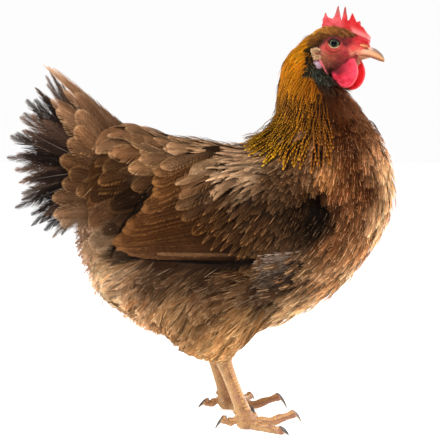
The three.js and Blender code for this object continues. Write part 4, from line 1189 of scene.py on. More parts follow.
def feather_finish(name, shaft_tone, pencil=0.0, pepper=0.5, roughness=0.7, centre=None, bars=26, shafts=0.6,
                   shade=0.5, lit_from=0.6, root=0.85, rim=0.9, streaks=1.5, shine=(0.5, 1.0)):
    """A vane's colours: its tone, a lit edge, lines along the edge, a pale shaft, streaks and specks, and
    painted shade towards its covered base.

    pencil, pepper, root and rim are how strong the lines, the specks, the dark root and the lit edge are,
    bars the number of streaks, shafts the share of feathers with a pale shaft, and shine how far that
    shaft goes from the edge's own tone, times a number, to shaft_tone. The dark root is the feather's own
    downy base and also painted shade in the gaps; shade and lit_from set a painted shade that darkens
    each feather towards the part that the next one covers."""
    finish = Finish(name, Roughness=roughness, Specular_IOR_Level=0.015)
    along, across = finish.map("Vane", 0), finish.map("Vane", 1)
    tone, edge = finish.attribute("tone", "Color"), finish.attribute("edge_tone", "Color")
    chance, shaft = finish.attribute("chance"), finish.attribute("shaft")
    out = abs(across * 2 - 1)
    barb = along * bars - out * (bars * 0.25)
    streak = finish.noise(finish.vector(barb, out * 0.8, chance * 40), 2.2, 3.0, 0.65)
    speckle = finish.noise(finish.vector(along * 18, out * 6, chance * 60), 2.4, 4.0, 0.75)
    border = out.between(0.72, 0.96) * along.between(0.2, 0.6) + along.between(0.88, 1.0) * 0.8
    border = border.math("MINIMUM", 1.0) * (streak * 1.4 + 0.2) * rim
    rings = (out * 3.2 + chance + speckle * 0.35).math("PINGPONG", 0.5) * 2
    lines = rings.between(0.6, 0.95) * along.between(0.3, 0.55) * pencil
    colour = finish.mix(border.math("MAXIMUM", lines), tone, edge)
    if centre is not None:
        core = (1 - out.between(0.4, 0.7)) * (1 - along.between(0.84, 0.99)) * finish.attribute("core")
        colour = finish.mix(core, colour, centre)
    colour = finish.scaled(colour, streak * streaks + (1.05 - streaks / 2))
    colour = finish.mix(speckle.between(0.5, 0.62) * pepper, colour, SPECK_TONE)
    # painted shade: each feather darker towards its base, where the feather over it would shade it
    colour = finish.scaled(colour, along.between(lit_from, 0.97) * (1 - shade) + shade)
    # the dark root: the feather's own downy base, and painted shade where it shows between feathers
    colour = finish.mix((1 - along.between(0.12, 0.5)) * root, colour, ROOT_AND_SHADE_TONE)
    lit = (1 - chance.between(shafts - 0.05, shafts + 0.05)) * 0.75 + 0.15
    pale = finish.mix(shine[0], finish.scaled(edge, shine[1]), shaft_tone)
    colour = finish.mix(shaft * along.between(0.1, 0.4) * lit, colour, pale)
    return finish.set(Base_Color=colour, Normal=finish.bump(streak, 0.0006, 0.4 * streaks))


# ---------------------------------------------------------------- head
def ripple(points, scale, seed):
    """A smooth random value from -1 to 1 over space; scale is the size of its lumps in millimetres."""
    chance = np.random.default_rng(seed)
    total = 0
    for _ in range(9):
        way = unit(chance.standard_normal(3)) * 2 * math.pi / (scale * chance.uniform(0.7, 1.5))
        total = total + np.sin(points @ way + chance.uniform(0, 2 * math.pi))
    return total / 4


def eye_middle(side):
    """The middle of an eye's ball, in the head's frame."""
    cheek = float(cheek_at(EYE["x"], EYE["z"]))
    return np.array([EYE["x"], side * (cheek + EYE["proud"] - EYE["radius"]), EYE["z"]])


def grid_mesh(name, grid):
    """A mesh from rings of points, with closed ends."""
    return new_mesh(name, *skinned(grid))


def eyeball(side, rings=40, sides=48):
    """A cornea over an iris with its pupil; ring holds how far each point is from the eye's axis."""
    polar, turn = ball_angles(rings, sides, 0.004, math.pi * 0.7)
    bulge = 1 + 0.05 * ridge(polar, 0, 0.6)
    x, y, z = split(np.stack([np.sin(polar) * np.cos(turn), side * np.cos(polar) * np.ones_like(turn),
                              np.sin(polar) * np.sin(turn)], -1) * bulge[..., None] * EYE["radius"])
    gaze = math.radians(EYE["gaze"])
    cos, sin = math.cos(gaze), math.sin(gaze) * side
    ball = np.stack([x * cos + y * sin, y * cos - x * sin, z], -1)
    if side == LEFT:
        ball = ball[:, ::-1]
    mesh = grid_mesh("eyeball", turn_head(ball + eye_middle(side)))
    in_front = polar[:, 0] < math.pi / 2
    add_values(mesh, "ring", np.repeat(np.sin(polar[:, 0]) * np.where(in_front, 1, 3), sides))
    add_values(mesh, "round", np.tile(turn[0] / (2 * math.pi), rings))
    return mesh


def eyelids(side):
    """The rim of skin round the eye, drawn out to a corner in front and behind."""
    turn = ring_angles(96)
    corner = np.abs(np.cos(turn)) ** 7
    rings = []
    for reach, thick, away in LID_RINGS:
        x = EYE["x"] + np.cos(turn) * (reach + (1.25 - 0.6 * away) * corner)
        z = EYE["z"] + np.sin(turn) * reach * 0.84 - 0.6 * np.cos(turn)
        far = np.hypot(x - EYE["x"], z - EYE["z"])
        ball = np.sqrt(np.maximum(EYE["radius"] ** 2 - far**2, 0)) + eye_middle(side)[1] * side
        cheek = cheek_at(x, z) + face_relief(np.stack([x, cheek_at(x, z), z], -1))
        skin_y = np.where(far < EYE["radius"], np.maximum(ball, cheek), cheek)
        wrinkle = 0.14 * np.sin(turn * 34 + reach * 3) * (thick > 0.4)
        heavy = 0.35 * smooth(np.sin(turn), 0.0, 0.9) * (thick > 0.4) * (1 - away)
        rings.append(np.stack([x, side * (skin_y + thick + wrinkle + heavy), z], -1))
    faces = grid_faces(len(rings), len(turn), True)
    mesh = new_mesh("eyelids", turn_head(np.concatenate(rings)), faces if side == RIGHT else faces[:, ::-1])
    reach = np.repeat([row[0] for row in LID_RINGS], len(turn))
    under = np.tile(smooth(-np.sin(turn), -0.1, 0.7), len(rings))
    above = np.tile(smooth(np.sin(turn), -0.2, 0.5), len(rings))
    add_values(mesh, "pale", under * (1 - smooth(reach, 4.9, 5.7)))
    # above and lash mark the upper lid for painted shade under the brow, lash its margin by the eye
    add_values(mesh, "above", above)
    add_values(mesh, "lash", above * (1 - smooth(reach, 5.6, 6.6)))
    return mesh


def comb_mesh():
    """The comb: a lumpy blade, thick at its root and in front, and thin at its points."""
    outline = np.array(COMB_EDGE)
    count = len(outline)
    blade = [np.column_stack([outline[:, 0], np.full(count, y), outline[:, 1]])
             for y in (-COMB["half"], COMB["half"])]
    faces = [list(range(count)), list(range(count, 2 * count))[::-1]]
    faces += [[i, (i + 1) % count, count + (i + 1) % count, count + i][::-1] for i in range(count)]
    mesh = remeshed("comb", (np.vstack(blade), faces), COMB["voxel"])
    points = relax(mesh, mesh_points(mesh), 4)
    x, _, z = split(points)
    rise = smooth(z, 388, 409)
    cushion = ridge(z, 386.5 - 0.45 * (x - 34), 3.2) * smooth(x, 27, 33)
    lower = ridge(z, 379.5 - 0.3 * (x - 38), 2.6) * smooth(x, 30, 36)
    crease = ridge(z, 382.6 - 0.38 * (x - 36), 0.8) * smooth(x, 29, 34)
    points[:, 1] *= blend(1.0, COMB["thin"], rise) * (1 + 0.85 * cushion + 0.6 * lower - 0.45 * crease)
    points[:, 1] += COMB["wave"] * np.sin(x / COMB["wave_long"]) * rise
    normals = point_normals(points, triangles_of(mesh))
    grooves = ripple(points * (1, 1, 0.22), 2.4, 8) * smooth(z, 386, 396)
    lumps = 0.2 * ripple(points, 1.7, 5) + 0.3 * ripple(points, 4.5, 6) + 0.3 * grooves
    points = points + normals * (lumps * blend(1.0, 0.45, rise))[:, None]
    place_points(mesh, turn_head(points))
    add_values(mesh, "tip", rise)
    add_values(mesh, "ahead", smooth(points[:, 0], 14, 28))
    # cushion also marks the bulge that the finish paints pale as a highlight
    add_values(mesh, "cushion", np.clip(cushion, 0, 1))
    add_values(mesh, "crease", np.clip(crease + lower * 0.6, 0, 1))
    return mesh


def wattle_mesh(side):
    """A wattle, a flat lobe with a thick rim that hangs from the jaw."""
    size = WATTLES[side]
    polar, turn = ball_angles(60, 96, 0.01, math.pi - 0.01)
    if side == LEFT:
        turn = turn[:, ::-1]
    x = np.sin(polar) * np.cos(turn)
    y = np.cos(polar) * np.ones_like(turn)
    z = np.sin(polar) * np.sin(turn)
    up = np.maximum(z, 0)
    flat = np.abs(y) ** 0.8 * np.sign(y) * size["thick"]
    rim = 1 + 0.3 * ridge(np.hypot(x, z), 0.87, 0.08)
    points = np.stack([
        size["x"] + x * size["long"] * (1 - 0.34 * up) + 4.2 * up + 0.6 * x * z,
        side * (size["y"] + flat * rim - 1.6 * x**2 - 1.5 * up),
        size["z"] + z * size["high"],
    ], -1)
    lumps = 0.16 * ripple(points, 1.6, 11) + 0.4 * ripple(points * (1, 1, 0.4), 5, 12)
    folds = 0.35 * np.sin(points[..., 0] * 1.1 + 1.5 * np.sin(points[..., 2] * 0.25)) * smooth(z, 0.0, 0.6)
    points[..., 1] += side * np.sign(y) * (lumps + folds) * np.sin(polar)
    mesh = grid_mesh("wattle", turn_head(points))
    # painted shadow: high marks the wattle's top, shaded by the jaw, which the finish darkens to near-black
    # maroon
    shaded = 344.6 + 0.9 * np.sin(points[..., 0] * 0.55)
    high = smooth(points[..., 2] - shaded, -1.4, 2.6) * (1 - smooth(points[..., 0], 14, 38))
    # inner marks the faces toward the middle plane, painted brighter red as light through the far wattle; rim
    # marks the edge, painted paler as rim light
    for name, values in (("rim", np.hypot(x, z)), ("high", high), ("inner", smooth(-y, 0.0, 0.3))):
        add_values(mesh, name, values.reshape(-1))
    return mesh


def lobe_mesh(side):
    """The earlobe and the fold of skin in front of it, as one soft form."""
    cheek = float(cheek_at(EARLOBE["x"], EARLOBE["z"]))
    shapes = [egg([EARLOBE["x"] - 1.8, side * (cheek - 0.3), EARLOBE["z"] + 0.2], EARLOBE["radii"])]
    top, bottom = EAR_FOLD["z"]
    for share in np.linspace(0, 1, EAR_FOLD["beads"]):
        x, z = blend(*EAR_FOLD["x"], share**0.8), blend(top, bottom, share)
        shapes.append(egg([x, side * (float(cheek_at(x, z)) + 0.1), z], EAR_FOLD["radii"], 16, 10))
    mesh = remeshed("earlobe", join(*shapes), 0.5)
    points, _ = softened(mesh, 5, ((0.18, 1.8, 21), (0.15, 4, 22)))
    place_points(mesh, turn_head(points))
    fold_x = blend(*EAR_FOLD["x"], np.clip((top - points[:, 2]) / (top - bottom), 0, 1) ** 0.8)
    add_values(mesh, "fold", smooth(EAR_FOLD["reach"] - np.abs(points[:, 0] - fold_x), 0, 0.9))
    return mesh


def bill_mesh(table, name, rings, sides=56):
    """One half of the bill; the upper one has the nostrils and a rim along the gape."""
    t = np.linspace(0, len(table) - 1, rings)[:, None]
    angle = ring_angles(sides)[None, :]
    grid = section_points(table, t, angle)
    x, y, z = split(grid)
    out = np.zeros_like(x)
    marks = {"under": np.ones_like(x)}
    if name == "bill_upper":
        level_z = z - NOSTRIL["z"] + NOSTRIL["slope"] * (x - NOSTRIL["x"])
        slot = np.exp(-((level_z / NOSTRIL["high"]) ** 2) - ((x - NOSTRIL["x"]) / NOSTRIL["long"]) ** 4)
        gape = ridge(z, np.interp(x, [33, 52, 60], [362.9, 361.4, 358.6]), 0.7)
        marks = {"slot": slot * smooth(np.abs(y), 1.5, 4), "gape": gape}
        out = 0.25 * gape - NOSTRIL["deep"] * marks["slot"]
    out = out + 0.06 * ripple(grid * (0.5, 1, 2.0), 1.5, 31)
    mesh = grid_mesh(name, turn_head(grid + out[..., None] * np.stack([x * 0, np.sign(y), x * 0], -1)))
    add_values(mesh, "along", np.repeat(t[:, 0] / (len(table) - 1), sides))
    add_values(mesh, "high", np.tile(np.cos(angle[0]) * 0.5 + 0.5, rings))
    for mark, values in marks.items():
        add_values(mesh, mark, values.reshape(-1))
    return mesh


def nostril_covers():
    """The soft flaps that lie over the nostrils."""
    flaps = [egg([x, side * 4.9, z], [long, 1.9, high])
             for _, side in SIDES for x, z, long, high in NOSTRIL_FLAPS]
    mesh = remeshed("nostril covers", in_head(join(*flaps)), 0.4)
    points = relax(mesh, mesh_points(mesh), 3)
    place_points(mesh, points)
    add_values(mesh, "along", np.full(len(points), 0.3))
    add_values(mesh, "high", smooth(points[:, 2], 366, 374))
    add_values(mesh, "hood", np.ones(len(points)))
    return mesh


# Bare skin: [dark tone, light tone, roughness, the grain's scale, its bump, glow, layers of other tones]
FLESH = {
    # eyelid: above and lash are painted shade, the upper lid darkened under the brow and its margin near
    # black
    "eyelid": ((140, 34, 32), (184, 70, 60), 0.45, 900, (0.0005, 0.6), 0,
               (("above", 0.85, (72, 20, 18)), ("lash", 1, (16, 9, 9)), ("pale", 0.85, (222, 190, 140)))),
    # comb: the cushion over the bill is painted pale as a highlight
    "comb": ((168, 28, 38), (224, 92, 96), 0.5, 1000, (0.0012, 0.8), 0.08,
             (("ahead", 0.85, (182, 1, 4)), ("cushion", 0.7, (230, 136, 132)), ("crease", 0.75, (176, 2, 30)),
              ("tip", 0.6, (124, 70, 62), 0.72, 1.0))),
    # wattle: high is painted shadow under the jaw, inner a brighter red painted as light through the far
    # wattle, rim a paler edge painted as rim light
    "wattle": ((184, 20, 44), (222, 60, 82), 0.55, 1100, (0.001, 0.7), 0.06,
               (("high", 0.95, (64, 1, 8)), ("inner", 0.85, (226, 14, 16)),
                ("rim", 0.75, (232, 84, 90), 0.88, 0.98))),
    "earlobe": ((122, 88, 104), (184, 152, 164), 0.5, 900, (0.0008, 0.6), 0,
                (("fold", 0.9, (198, 92, 94)),)),
}
FLESH_DEPTH = (0.004, 0.001, 0.0008)  # how far red, green and blue light go in


def flesh_finish(name):
    """Bare skin, grained, in tones that change over it."""
    dark, light, roughness, scale, bump, glow, layers = FLESH[name]
    finish = Finish(name, Roughness=roughness, Specular_IOR_Level=0.2)
    if glow:
        finish.shader.inputs["Subsurface Weight"].default_value = glow
        finish.shader.inputs["Subsurface Radius"].default_value = FLESH_DEPTH
    spot = finish.place()
    patches, grain = finish.noise(spot, 130, 4), finish.noise(spot, scale, 3)
    colour = finish.layered(finish.ramp(patches, (0.35, dark), (0.65, light)), layers)
    return finish.set(Base_Color=colour, Normal=finish.bump(grain, *bump))


def eye_finish():
    """A black pupil, an olive iris with a tan rim, and the dark ball behind."""
    finish = Finish("eye", Roughness=0.12, Specular_IOR_Level=0.06)
    ring, turn = finish.attribute("ring"), finish.attribute("round")
    rays = finish.noise(finish.vector(turn * 60, ring * 2), 1, 3, 0.5)
    colour = finish.ramp(ring, (0.0, (2, 2, 2)), (0.38, (3, 3, 3)), (0.43, (36, 38, 32)),
                         (0.5, (54, 56, 46)), (0.62, (78, 78, 60)), (0.68, (112, 102, 68)),
                         (0.73, (40, 28, 20)), (0.78, (12, 9, 9)), (1.0, (8, 6, 6)))
    return finish.set(Base_Color=finish.scaled(colour, rays * 0.7 + 0.65))


def bill_finish():
    """Pinkish horn, grey along its ridge and dark under its edge, with the nostril flaps' own tone, painted
    shade in the nostril slot and a painted highlight on top.
    """
    finish = Finish("bill horn", Roughness=0.32, Specular_IOR_Level=0.3)
    along, high = finish.attribute("along"), finish.attribute("high")
    fibre = finish.noise(finish.vector(along * 3, high * 26), 3, 4)
    colour = finish.ramp(along, (0.0, (186, 96, 70)), (0.25, (206, 140, 110)), (0.45, (200, 144, 104)),
                         (0.7, (190, 136, 90)), (1.0, (214, 160, 104)))
    colour = finish.mix((1 - high.between(0.25, 0.5)) * along.between(0.1, 0.3) * 0.75, colour, (134, 78, 42))
    # painted highlight: a near-white patch on top of the bill
    top = high.between(0.72, 0.95) * along.between(0.3, 0.45)
    colour = finish.mix(top * (1 - along.between(0.4, 0.5)) * 0.7, colour, (226, 216, 208))
    culmen = high.between(0.62, 0.85) * along.between(0.34, 0.46) * (1 - along.between(0.8, 0.95))
    colour = finish.mix(culmen * fibre.between(0.3, 0.55) * 0.85, colour, (90, 84, 84))
    # slot: the nostril's groove, painted dark as shade in the recess
    colour = finish.layered(colour, (("gape", 0.75, (112, 58, 40)), ("under", 0.7, (146, 92, 62)),
                                     ("hood", 0.85, (186, 118, 62)), ("slot", 1, (60, 34, 22), 0.25, 0.8)))
    return finish.set(Base_Color=finish.scaled(colour, fibre * 0.5 + 0.75),
                      Normal=finish.bump(fibre, 0.0003, 0.5))


def head_pieces():
    """The bare parts of the head: nostril covers, eyes, lids, wattles, earlobes, comb and bill."""
    eye, horn = eye_finish(), bill_finish()
    flesh = {name: flesh_finish(name) for name in FLESH}
    piece("nostril_covers", nostril_covers(), horn, [])
    for name, side in SIDES:
        piece(f"eyeball_{name}", eyeball(side), eye, [f"eye_{name}"])
        piece(f"eyelids_{name}", eyelids(side), flesh["eyelid"], [])
        piece(f"wattle_skin_{name}", wattle_mesh(side), flesh["wattle"], [f"wattle_{name}"])
        piece(f"earlobe_skin_{name}", lobe_mesh(side), flesh["earlobe"], [f"earlobe_{name}"])
    piece("comb_blade", comb_mesh(), flesh["comb"], ["comb"])
    piece("bill_upper", bill_mesh(BEAK_UPPER, "bill_upper", 64), horn, ["beak_upper"])
    piece("bill_lower", bill_mesh(BEAK_LOWER, "bill_lower", 40), horn, ["beak_lower"])


# ---------------------------------------------------------------- feet
def shank_table(leg):
    """The shank's sections, square to the line from hock to foot."""
    (hock_x, hock_y, hock_z), (foot_x, foot_y) = leg["hock"], leg["foot"]
    along = unit(np.array([foot_x - hock_x, ANKLE_Z - hock_z], float))
    rows = []
    for share, radius, half in SHANK:
        x, z = blend(hock_x, foot_x, share), blend(hock_z, ANKLE_Z, share)
        step = radius * np.array([-along[1], along[0]])
        rows.append([x - step[0], z - step[1], x + step[0], z + step[1], half, 0.5, 2.0,
                     leg["side"] * blend(hock_y, foot_y, share)])
    return np.array(rows)


def toe_rows(leg, number, share):
    """Middle height and radius of a toe at shares of its length."""
    _, root, tip, height = TOES[number]
    radius = blend(root, tip, share) + 0.45 * np.cos(share * 6 * math.pi)
    flat = radius - 0.5 + leg["lifts"][number] * smooth(share, 0.5, 1)
    return blend(height, flat, smooth(share, 0, 0.9)), radius


def on_foot(leg, number, points):
    """Points made along +X from the foot's middle, in the place of one of its toes."""
    turn = math.radians(-leg["side"] * leg["toes"][number])
    x, y, z = split(points)
    foot_x, foot_y = leg["foot"]
    return np.stack([foot_x + x * math.cos(turn) - y * math.sin(turn),
                     leg["side"] * foot_y + x * math.sin(turn) + y * math.cos(turn), z], -1)


def foot_skin(leg):
    """A shank, its pad and spur, and its toes, as one soft form that stands on the floor."""
    foot_x, foot_y, side = *leg["foot"], leg["side"]
    rear = spline_rows(shank_table(leg), 4.2)
    shapes = [
        tube(shank_table(leg), 60, 32),
        egg([foot_x + PAD["forward"], side * foot_y, PAD["z"]], [PAD["radius"], PAD["radius"], PAD["high"]]),
        egg([rear[0] + 0.8, rear[7], rear[1]], SPUR),
    ]
    for number, (length, _, _, _) in enumerate(TOES):
        share = np.linspace(0, 1, 12)
        height, radius = toe_rows(leg, number, share)
        x = length * share
        table = np.stack([x, height + radius, x, height - radius, radius * 0.92, share * 0 + 0.55,
                          share * 0 + 2], 1)
        height, radius = toe_rows(leg, number, 0.96)
        bulb = egg([length * 0.97, 0, height - 0.7], [4.2, radius * 0.98, radius * 0.86], 20, 12)
        shapes += [(on_foot(leg, number, points), faces) for points, faces in (tube(table, 40, 20), bulb)]
    mesh = remeshed("foot", join(*shapes), 0.75)
    points, normals = softened(mesh, 4, ((0.16, 2.2, 41), (0.12, 5.0, 42)))
    points[:, 2] = np.maximum(points[:, 2], 0.05)
    place_points(mesh, points)
    far = np.hypot(points[:, 0] - foot_x, points[:, 1] - side * foot_y)
    # rear: skin facing back and down, which the finish paints paler as a painted highlight
    add_values(mesh, "rear", smooth((normals * (-0.93, 0, -0.36)).sum(1), -0.1, 0.8))
    add_values(mesh, "tip", smooth(far, 24, 50) * (points[:, 2] < 30))
    return mesh


def scute_seats(leg):
    """Where each plate sits: its place, its turn and its size."""
    seats = []

    def seat(place, ahead, out, size):
        across = np.cross(out, ahead)
        turn = Matrix(np.stack([unit(ahead), unit(across), unit(out)], 1).tolist()).to_euler()
        seats.append((place, tuple(turn), np.array(size) * MM))

    stops = np.linspace(*SCUTES["span"], SCUTES["shank"])
    rows = spline_rows(shank_table(leg), np.interp(stops, [row[0] for row in SHANK], np.arange(len(SHANK))))
    pitch = np.linalg.norm(rows[1, :2] - rows[0, :2])
    for row in rows:
        run_x, run_z = row[2] - row[0], row[3] - row[1]
        out = unit(np.array([run_x, 0, run_z]))
        middle = np.array([(row[0] + row[2]) / 2, row[7], (row[1] + row[3]) / 2])
        radius = math.hypot(run_x, run_z) / 2
        seat(middle + out * (radius + 0.12), np.array([out[2], 0, -out[0]]), out,
             (pitch * 1.4, row[4] + 0.25, radius))
    for number, (length, _, _, _) in enumerate(TOES):
        share = np.linspace(0.2 if number else 0.35, 0.93, int(length / SCUTES["toe_pitch"]))
        height, radius = toe_rows(leg, number, share)
        x = length * share
        places = on_foot(leg, number, np.stack([x, x * 0, height + radius + 0.1], 1))
        ahead = np.gradient(places, axis=0)
        step = np.linalg.norm(ahead, axis=1).mean()
        for place, way, wide in zip(places, ahead, radius):
            out = np.array([0, 0, 1]) - way * (way[2] / (way @ way))
            seat(place, way, unit(out), (step * 1.45, wide * 0.96, wide))
    return seats


def scute_tree(material):
    """Curved plates set on points, each turned and sized by the point's own values."""
    tree = bpy.data.node_groups.new("scutes", "GeometryNodeTree")
    kinds = {"Seats": "Geometry", "Wrap": "Float", "Rise": "Float", "Jitter": "Float", "Seed": "Int"}
    for name, kind in kinds.items():
        tree.interface.new_socket(name, in_out="INPUT", socket_type=f"NodeSocket{kind}")
    tree.interface.new_socket("Plates", in_out="OUTPUT", socket_type="NodeSocketGeometry")
    graph = Graph(tree)
    given = tree.nodes.new("NodeGroupInput")
    seats, wrap, rise, jitter, seed = (Signal(graph, given.outputs[name]) for name in kinds)
    grid = graph.node("GeometryNodeMeshGrid", None,
                      {"Size X": 1.0, "Size Y": 2.0, "Vertices X": 6, "Vertices Y": 9})
    place = graph.node("GeometryNodeInputPosition")
    x, y = graph.axis(place, 0), graph.axis(place, 1)
    angle = y * wrap
    lift = (x + 0.5).between(0.0, 0.75) - (x + 0.5).between(0.82, 1.0) * 2.2
    # edge: the share along each plate, which the finish darkens at its end as painted shade
    graded = graph.node("GeometryNodeStoreNamedAttribute", {"data_type": "FLOAT", "domain": "POINT"},
                        {"Geometry": grid, "Name": "edge", "Value": (x + 0.5) * 0.999})
    bent = graph.vector(x * (1 - y * y * 0.3), angle.math("SINE"), angle.math("COSINE") - 1 + lift * rise)
    plate = graph.node("GeometryNodeSetPosition", None, {"Geometry": graded, "Position": bent})
    way, size = (graph.node("GeometryNodeInputNamedAttribute", {"data_type": "FLOAT_VECTOR"}, {"Name": name})
                 for name in ("way", "size"))
    chance = graph.node("FunctionNodeRandomValue", {"data_type": "FLOAT"},
                        {2: 1 - jitter, 3: 1 + jitter, "Seed": seed}, 1)
    turn = graph.node("FunctionNodeEulerToRotation", None, {0: way})
    scale = graph.scaled(size, chance)
    copies = graph.node("GeometryNodeInstanceOnPoints", None,
                        {"Points": seats, "Instance": plate, "Rotation": turn, "Scale": scale})
    whole = graph.node("GeometryNodeRealizeInstances", None, {"Geometry": copies})
    done = graph.node("GeometryNodeSetMaterial", None, {"Geometry": whole, "Material": material})
    tree.links.new(done.socket, tree.nodes.new("NodeGroupOutput").inputs[0])
    return tree


def scutes(leg, tree):
    """The plates of one foot, made by the tree as a plain mesh."""
    places, turns, sizes = (np.array(column) for column in zip(*scute_seats(leg)))
    mesh = bpy.data.meshes.new("seats")
    mesh.from_pydata((places + (0, MIDDLE_Y, 0)) * MM, [], [])
    for name, vectors in (("way", turns), ("size", sizes)):
        attribute = mesh.attributes.new(name, "FLOAT_VECTOR", "POINT")
        attribute.data.foreach_set("vector", vectors.astype(np.float32).reshape(-1))
    thing = placed("seats", mesh)
    modifier = thing.modifiers.new("scutes", "NODES")
    modifier.node_group = tree
    for item in tree.interface.items_tree:
        if item.name in SCUTE_INPUTS:
            modifier[item.identifier] = SCUTE_INPUTS[item.name]
    return plain_mesh(thing)


def claw_mesh(leg, number, rings=34, sides=24):
    """A curved claw, flat beneath."""
    length = TOES[number][0]
    height, _ = toe_rows(leg, number, 1.0)
    share = np.linspace(0, 1, 10)
    radius = blend(CLAW["radius"], CLAW["tip"], share**1.7)
    x = length - CLAW["root"] + (CLAW["long"] + CLAW["root"]) * share
    z = blend(height + 1.5, CLAW["tip"] + 0.3, share**2.2)
    lean = 0.5 * share
    table = np.stack([x + radius * lean, z + radius, x - radius * lean, z - radius, radius * 0.78,
                      share * 0 + 0.4, share * 0 + 2], 1)
    t = np.linspace(0, len(share) - 1, rings)
    grid = section_points(table, t[:, None], ring_angles(sides)[None, :])
    mesh = grid_mesh("claw", on_foot(leg, number, grid))
    add_values(mesh, "under", np.tile(smooth(-np.cos(ring_angles(sides)), 0.2, 0.9), rings))
    add_values(mesh, "along", np.repeat(t / t[-1], sides))
    return mesh


def foot_finish():
    """Soft skin, cracked into small cells, paler behind as a painted highlight, and redder at the toes."""
    finish = Finish("foot skin", Roughness=0.5)
    spot = finish.place()
    patch, fine = finish.noise(spot, 110, 4), finish.noise(spot, 700, 3)
    cells = finish.node("ShaderNodeTexVoronoi", {"feature": "DISTANCE_TO_EDGE"},
                        {"Vector": spot, "Scale": 620.0})
    colour = finish.ramp(patch, (0.3, (126, 82, 48)), (0.5, (184, 132, 80)), (0.7, (168, 112, 86)))
    # painted highlight: paler skin behind; redder toes
    colour = finish.layered(colour, (("rear", 0.5, (226, 182, 116)), ("tip", 0.65, (152, 94, 66))))
    colour = finish.mix((1 - cells.between(0.0, 0.16)) * 0.6, colour, (104, 68, 44))
    return finish.set(Base_Color=finish.scaled(colour, fine * 0.7 + 0.65),
                      Normal=finish.bump(cells.between(0.0, 0.3), 0.0006, 0.8))


def plate_finish():
    """Horny plates, with painted shade where each ends over the next."""
    finish = Finish("scute", Roughness=0.42)
    spot = finish.place()
    patch, fine = finish.noise(spot, 150, 4, 0.65), finish.noise(spot, 900, 3)
    colour = finish.ramp(patch, (0.32, (130, 88, 56)), (0.5, (190, 140, 84)), (0.68, (158, 112, 88)))
    # painted shade at each plate's end, where it lies over the next
    colour = finish.layered(colour, (("edge", 0.7, (96, 62, 40), 0.72, 0.95),))
    return finish.set(Base_Color=finish.scaled(colour, fine * 0.7 + 0.65),
                      Normal=finish.bump(fine, 0.0003, 0.5))


def claw_finish():
    """Dark horn with fibres along it, pale beneath."""
    finish = Finish("claw horn", Roughness=0.35)
    along, under = finish.attribute("along"), finish.attribute("under")
    fibre = finish.noise(finish.vector(along * 2, under * 9), 3, 4)
    colour = finish.ramp(along, (0.0, (120, 100, 84)), (0.35, (84, 74, 68)), (1.0, (58, 50, 46)))
    colour = finish.mix(under * 0.75, colour, (206, 180, 150))
    return finish.set(Base_Color=finish.scaled(colour, fibre * 0.8 + 0.6))


def feet():
    """Both feet, each with its skin, its scutes and its claws."""
    leather, plates, horn = foot_finish(), plate_finish(), claw_finish()
    tree = scute_tree(plates)
    for leg in LEGS:
        name = leg["name"]
        nodes = [f"shank_{name}"] + [f"toe_{name}_{number}" for number in range(1, 5)]
        piece(f"foot_skin_{name}", foot_skin(leg), leather, nodes)
        piece(f"foot_scutes_{name}", scutes(leg, tree), plates, [])
        for number in range(4):
            toe = f"{name}_{number + 1}"
            piece(f"claw_horn_{toe}", claw_mesh(leg, number), horn, [f"claw_{toe}"])


# ---------------------------------------------------------------- the hen
def skin_finish():
    """Red, veined skin on the face, and under the feathers skin in the coat's tones darkened to a third, as
    painted shade in the gaps between feathers.
    """
    finish = Finish("bare skin", Specular_IOR_Level=0.12)
    spot, bare = finish.place(), finish.attribute("bare")
    blotch, vein, grain = (finish.noise(spot, *kind) for kind in ((170, 4), (620, 4, 0.65), (1300, 3)))
    face = finish.scaled(finish.attribute("face_tone", "Color"), vein * 1.3 + blotch * 0.7 - 0.12)
    face = finish.mix(blotch.between(0.55, 0.75) * 0.14, face, (214, 96, 84))
    # painted shade: the darkened skin that shows between the feathers
    coat = finish.scaled(finish.attribute("under_tone", "Color"), blotch + 0.5)
    return finish.set(Base_Color=finish.mix(bare, coat, face), Roughness=0.98 - bare * 0.56,
                      Normal=finish.bump(vein * 0.6 + grain * 0.5, 0.0011, 0.8))


def add_skin_values(mesh, random):
    """The values that the skin's finish reads, and its unwrap."""
    points = mesh_points(mesh)
    local = unturn_head(points)
    add_values(mesh, "bare", bare_weight(local) * smooth(points[:, 2], 338, 343))
    places = np.where(points[:, 2:] > 335, local, (0.0, 0.0, 350.0))
    face = by_place(FACE_TONES, places, 3.6, 1.2) @ np.array([paint(*row[2]) for row in FACE_TONES])
    coat, _ = coat_tones(points, random, 0.0)
    gold, _ = coat_tones(points, random, 0.0, HACKLE_TONES)
    on_neck = smooth(points[:, 2:], 285, 300) * smooth(122 - points[:, :1], 0, 8)
    add_values(mesh, "face_tone", face, "FLOAT_COLOR")
    # under the feathers: the coat's tones at a third, painted shade where the skin shows between feathers
    add_values(mesh, "under_tone", blend(coat, gold, on_neck) * 0.35, "FLOAT_COLOR")
    add_map(mesh, "OFBake", bake_places(points))


random = np.random.default_rng(SEED)
skin_mesh = make_skin()
hide = Hide(skin_mesh)
add_skin_values(skin_mesh, random)
piece("skin", skin_mesh, skin_finish(), ["torso", "neck", "head", "thigh_right", "thigh_left"])

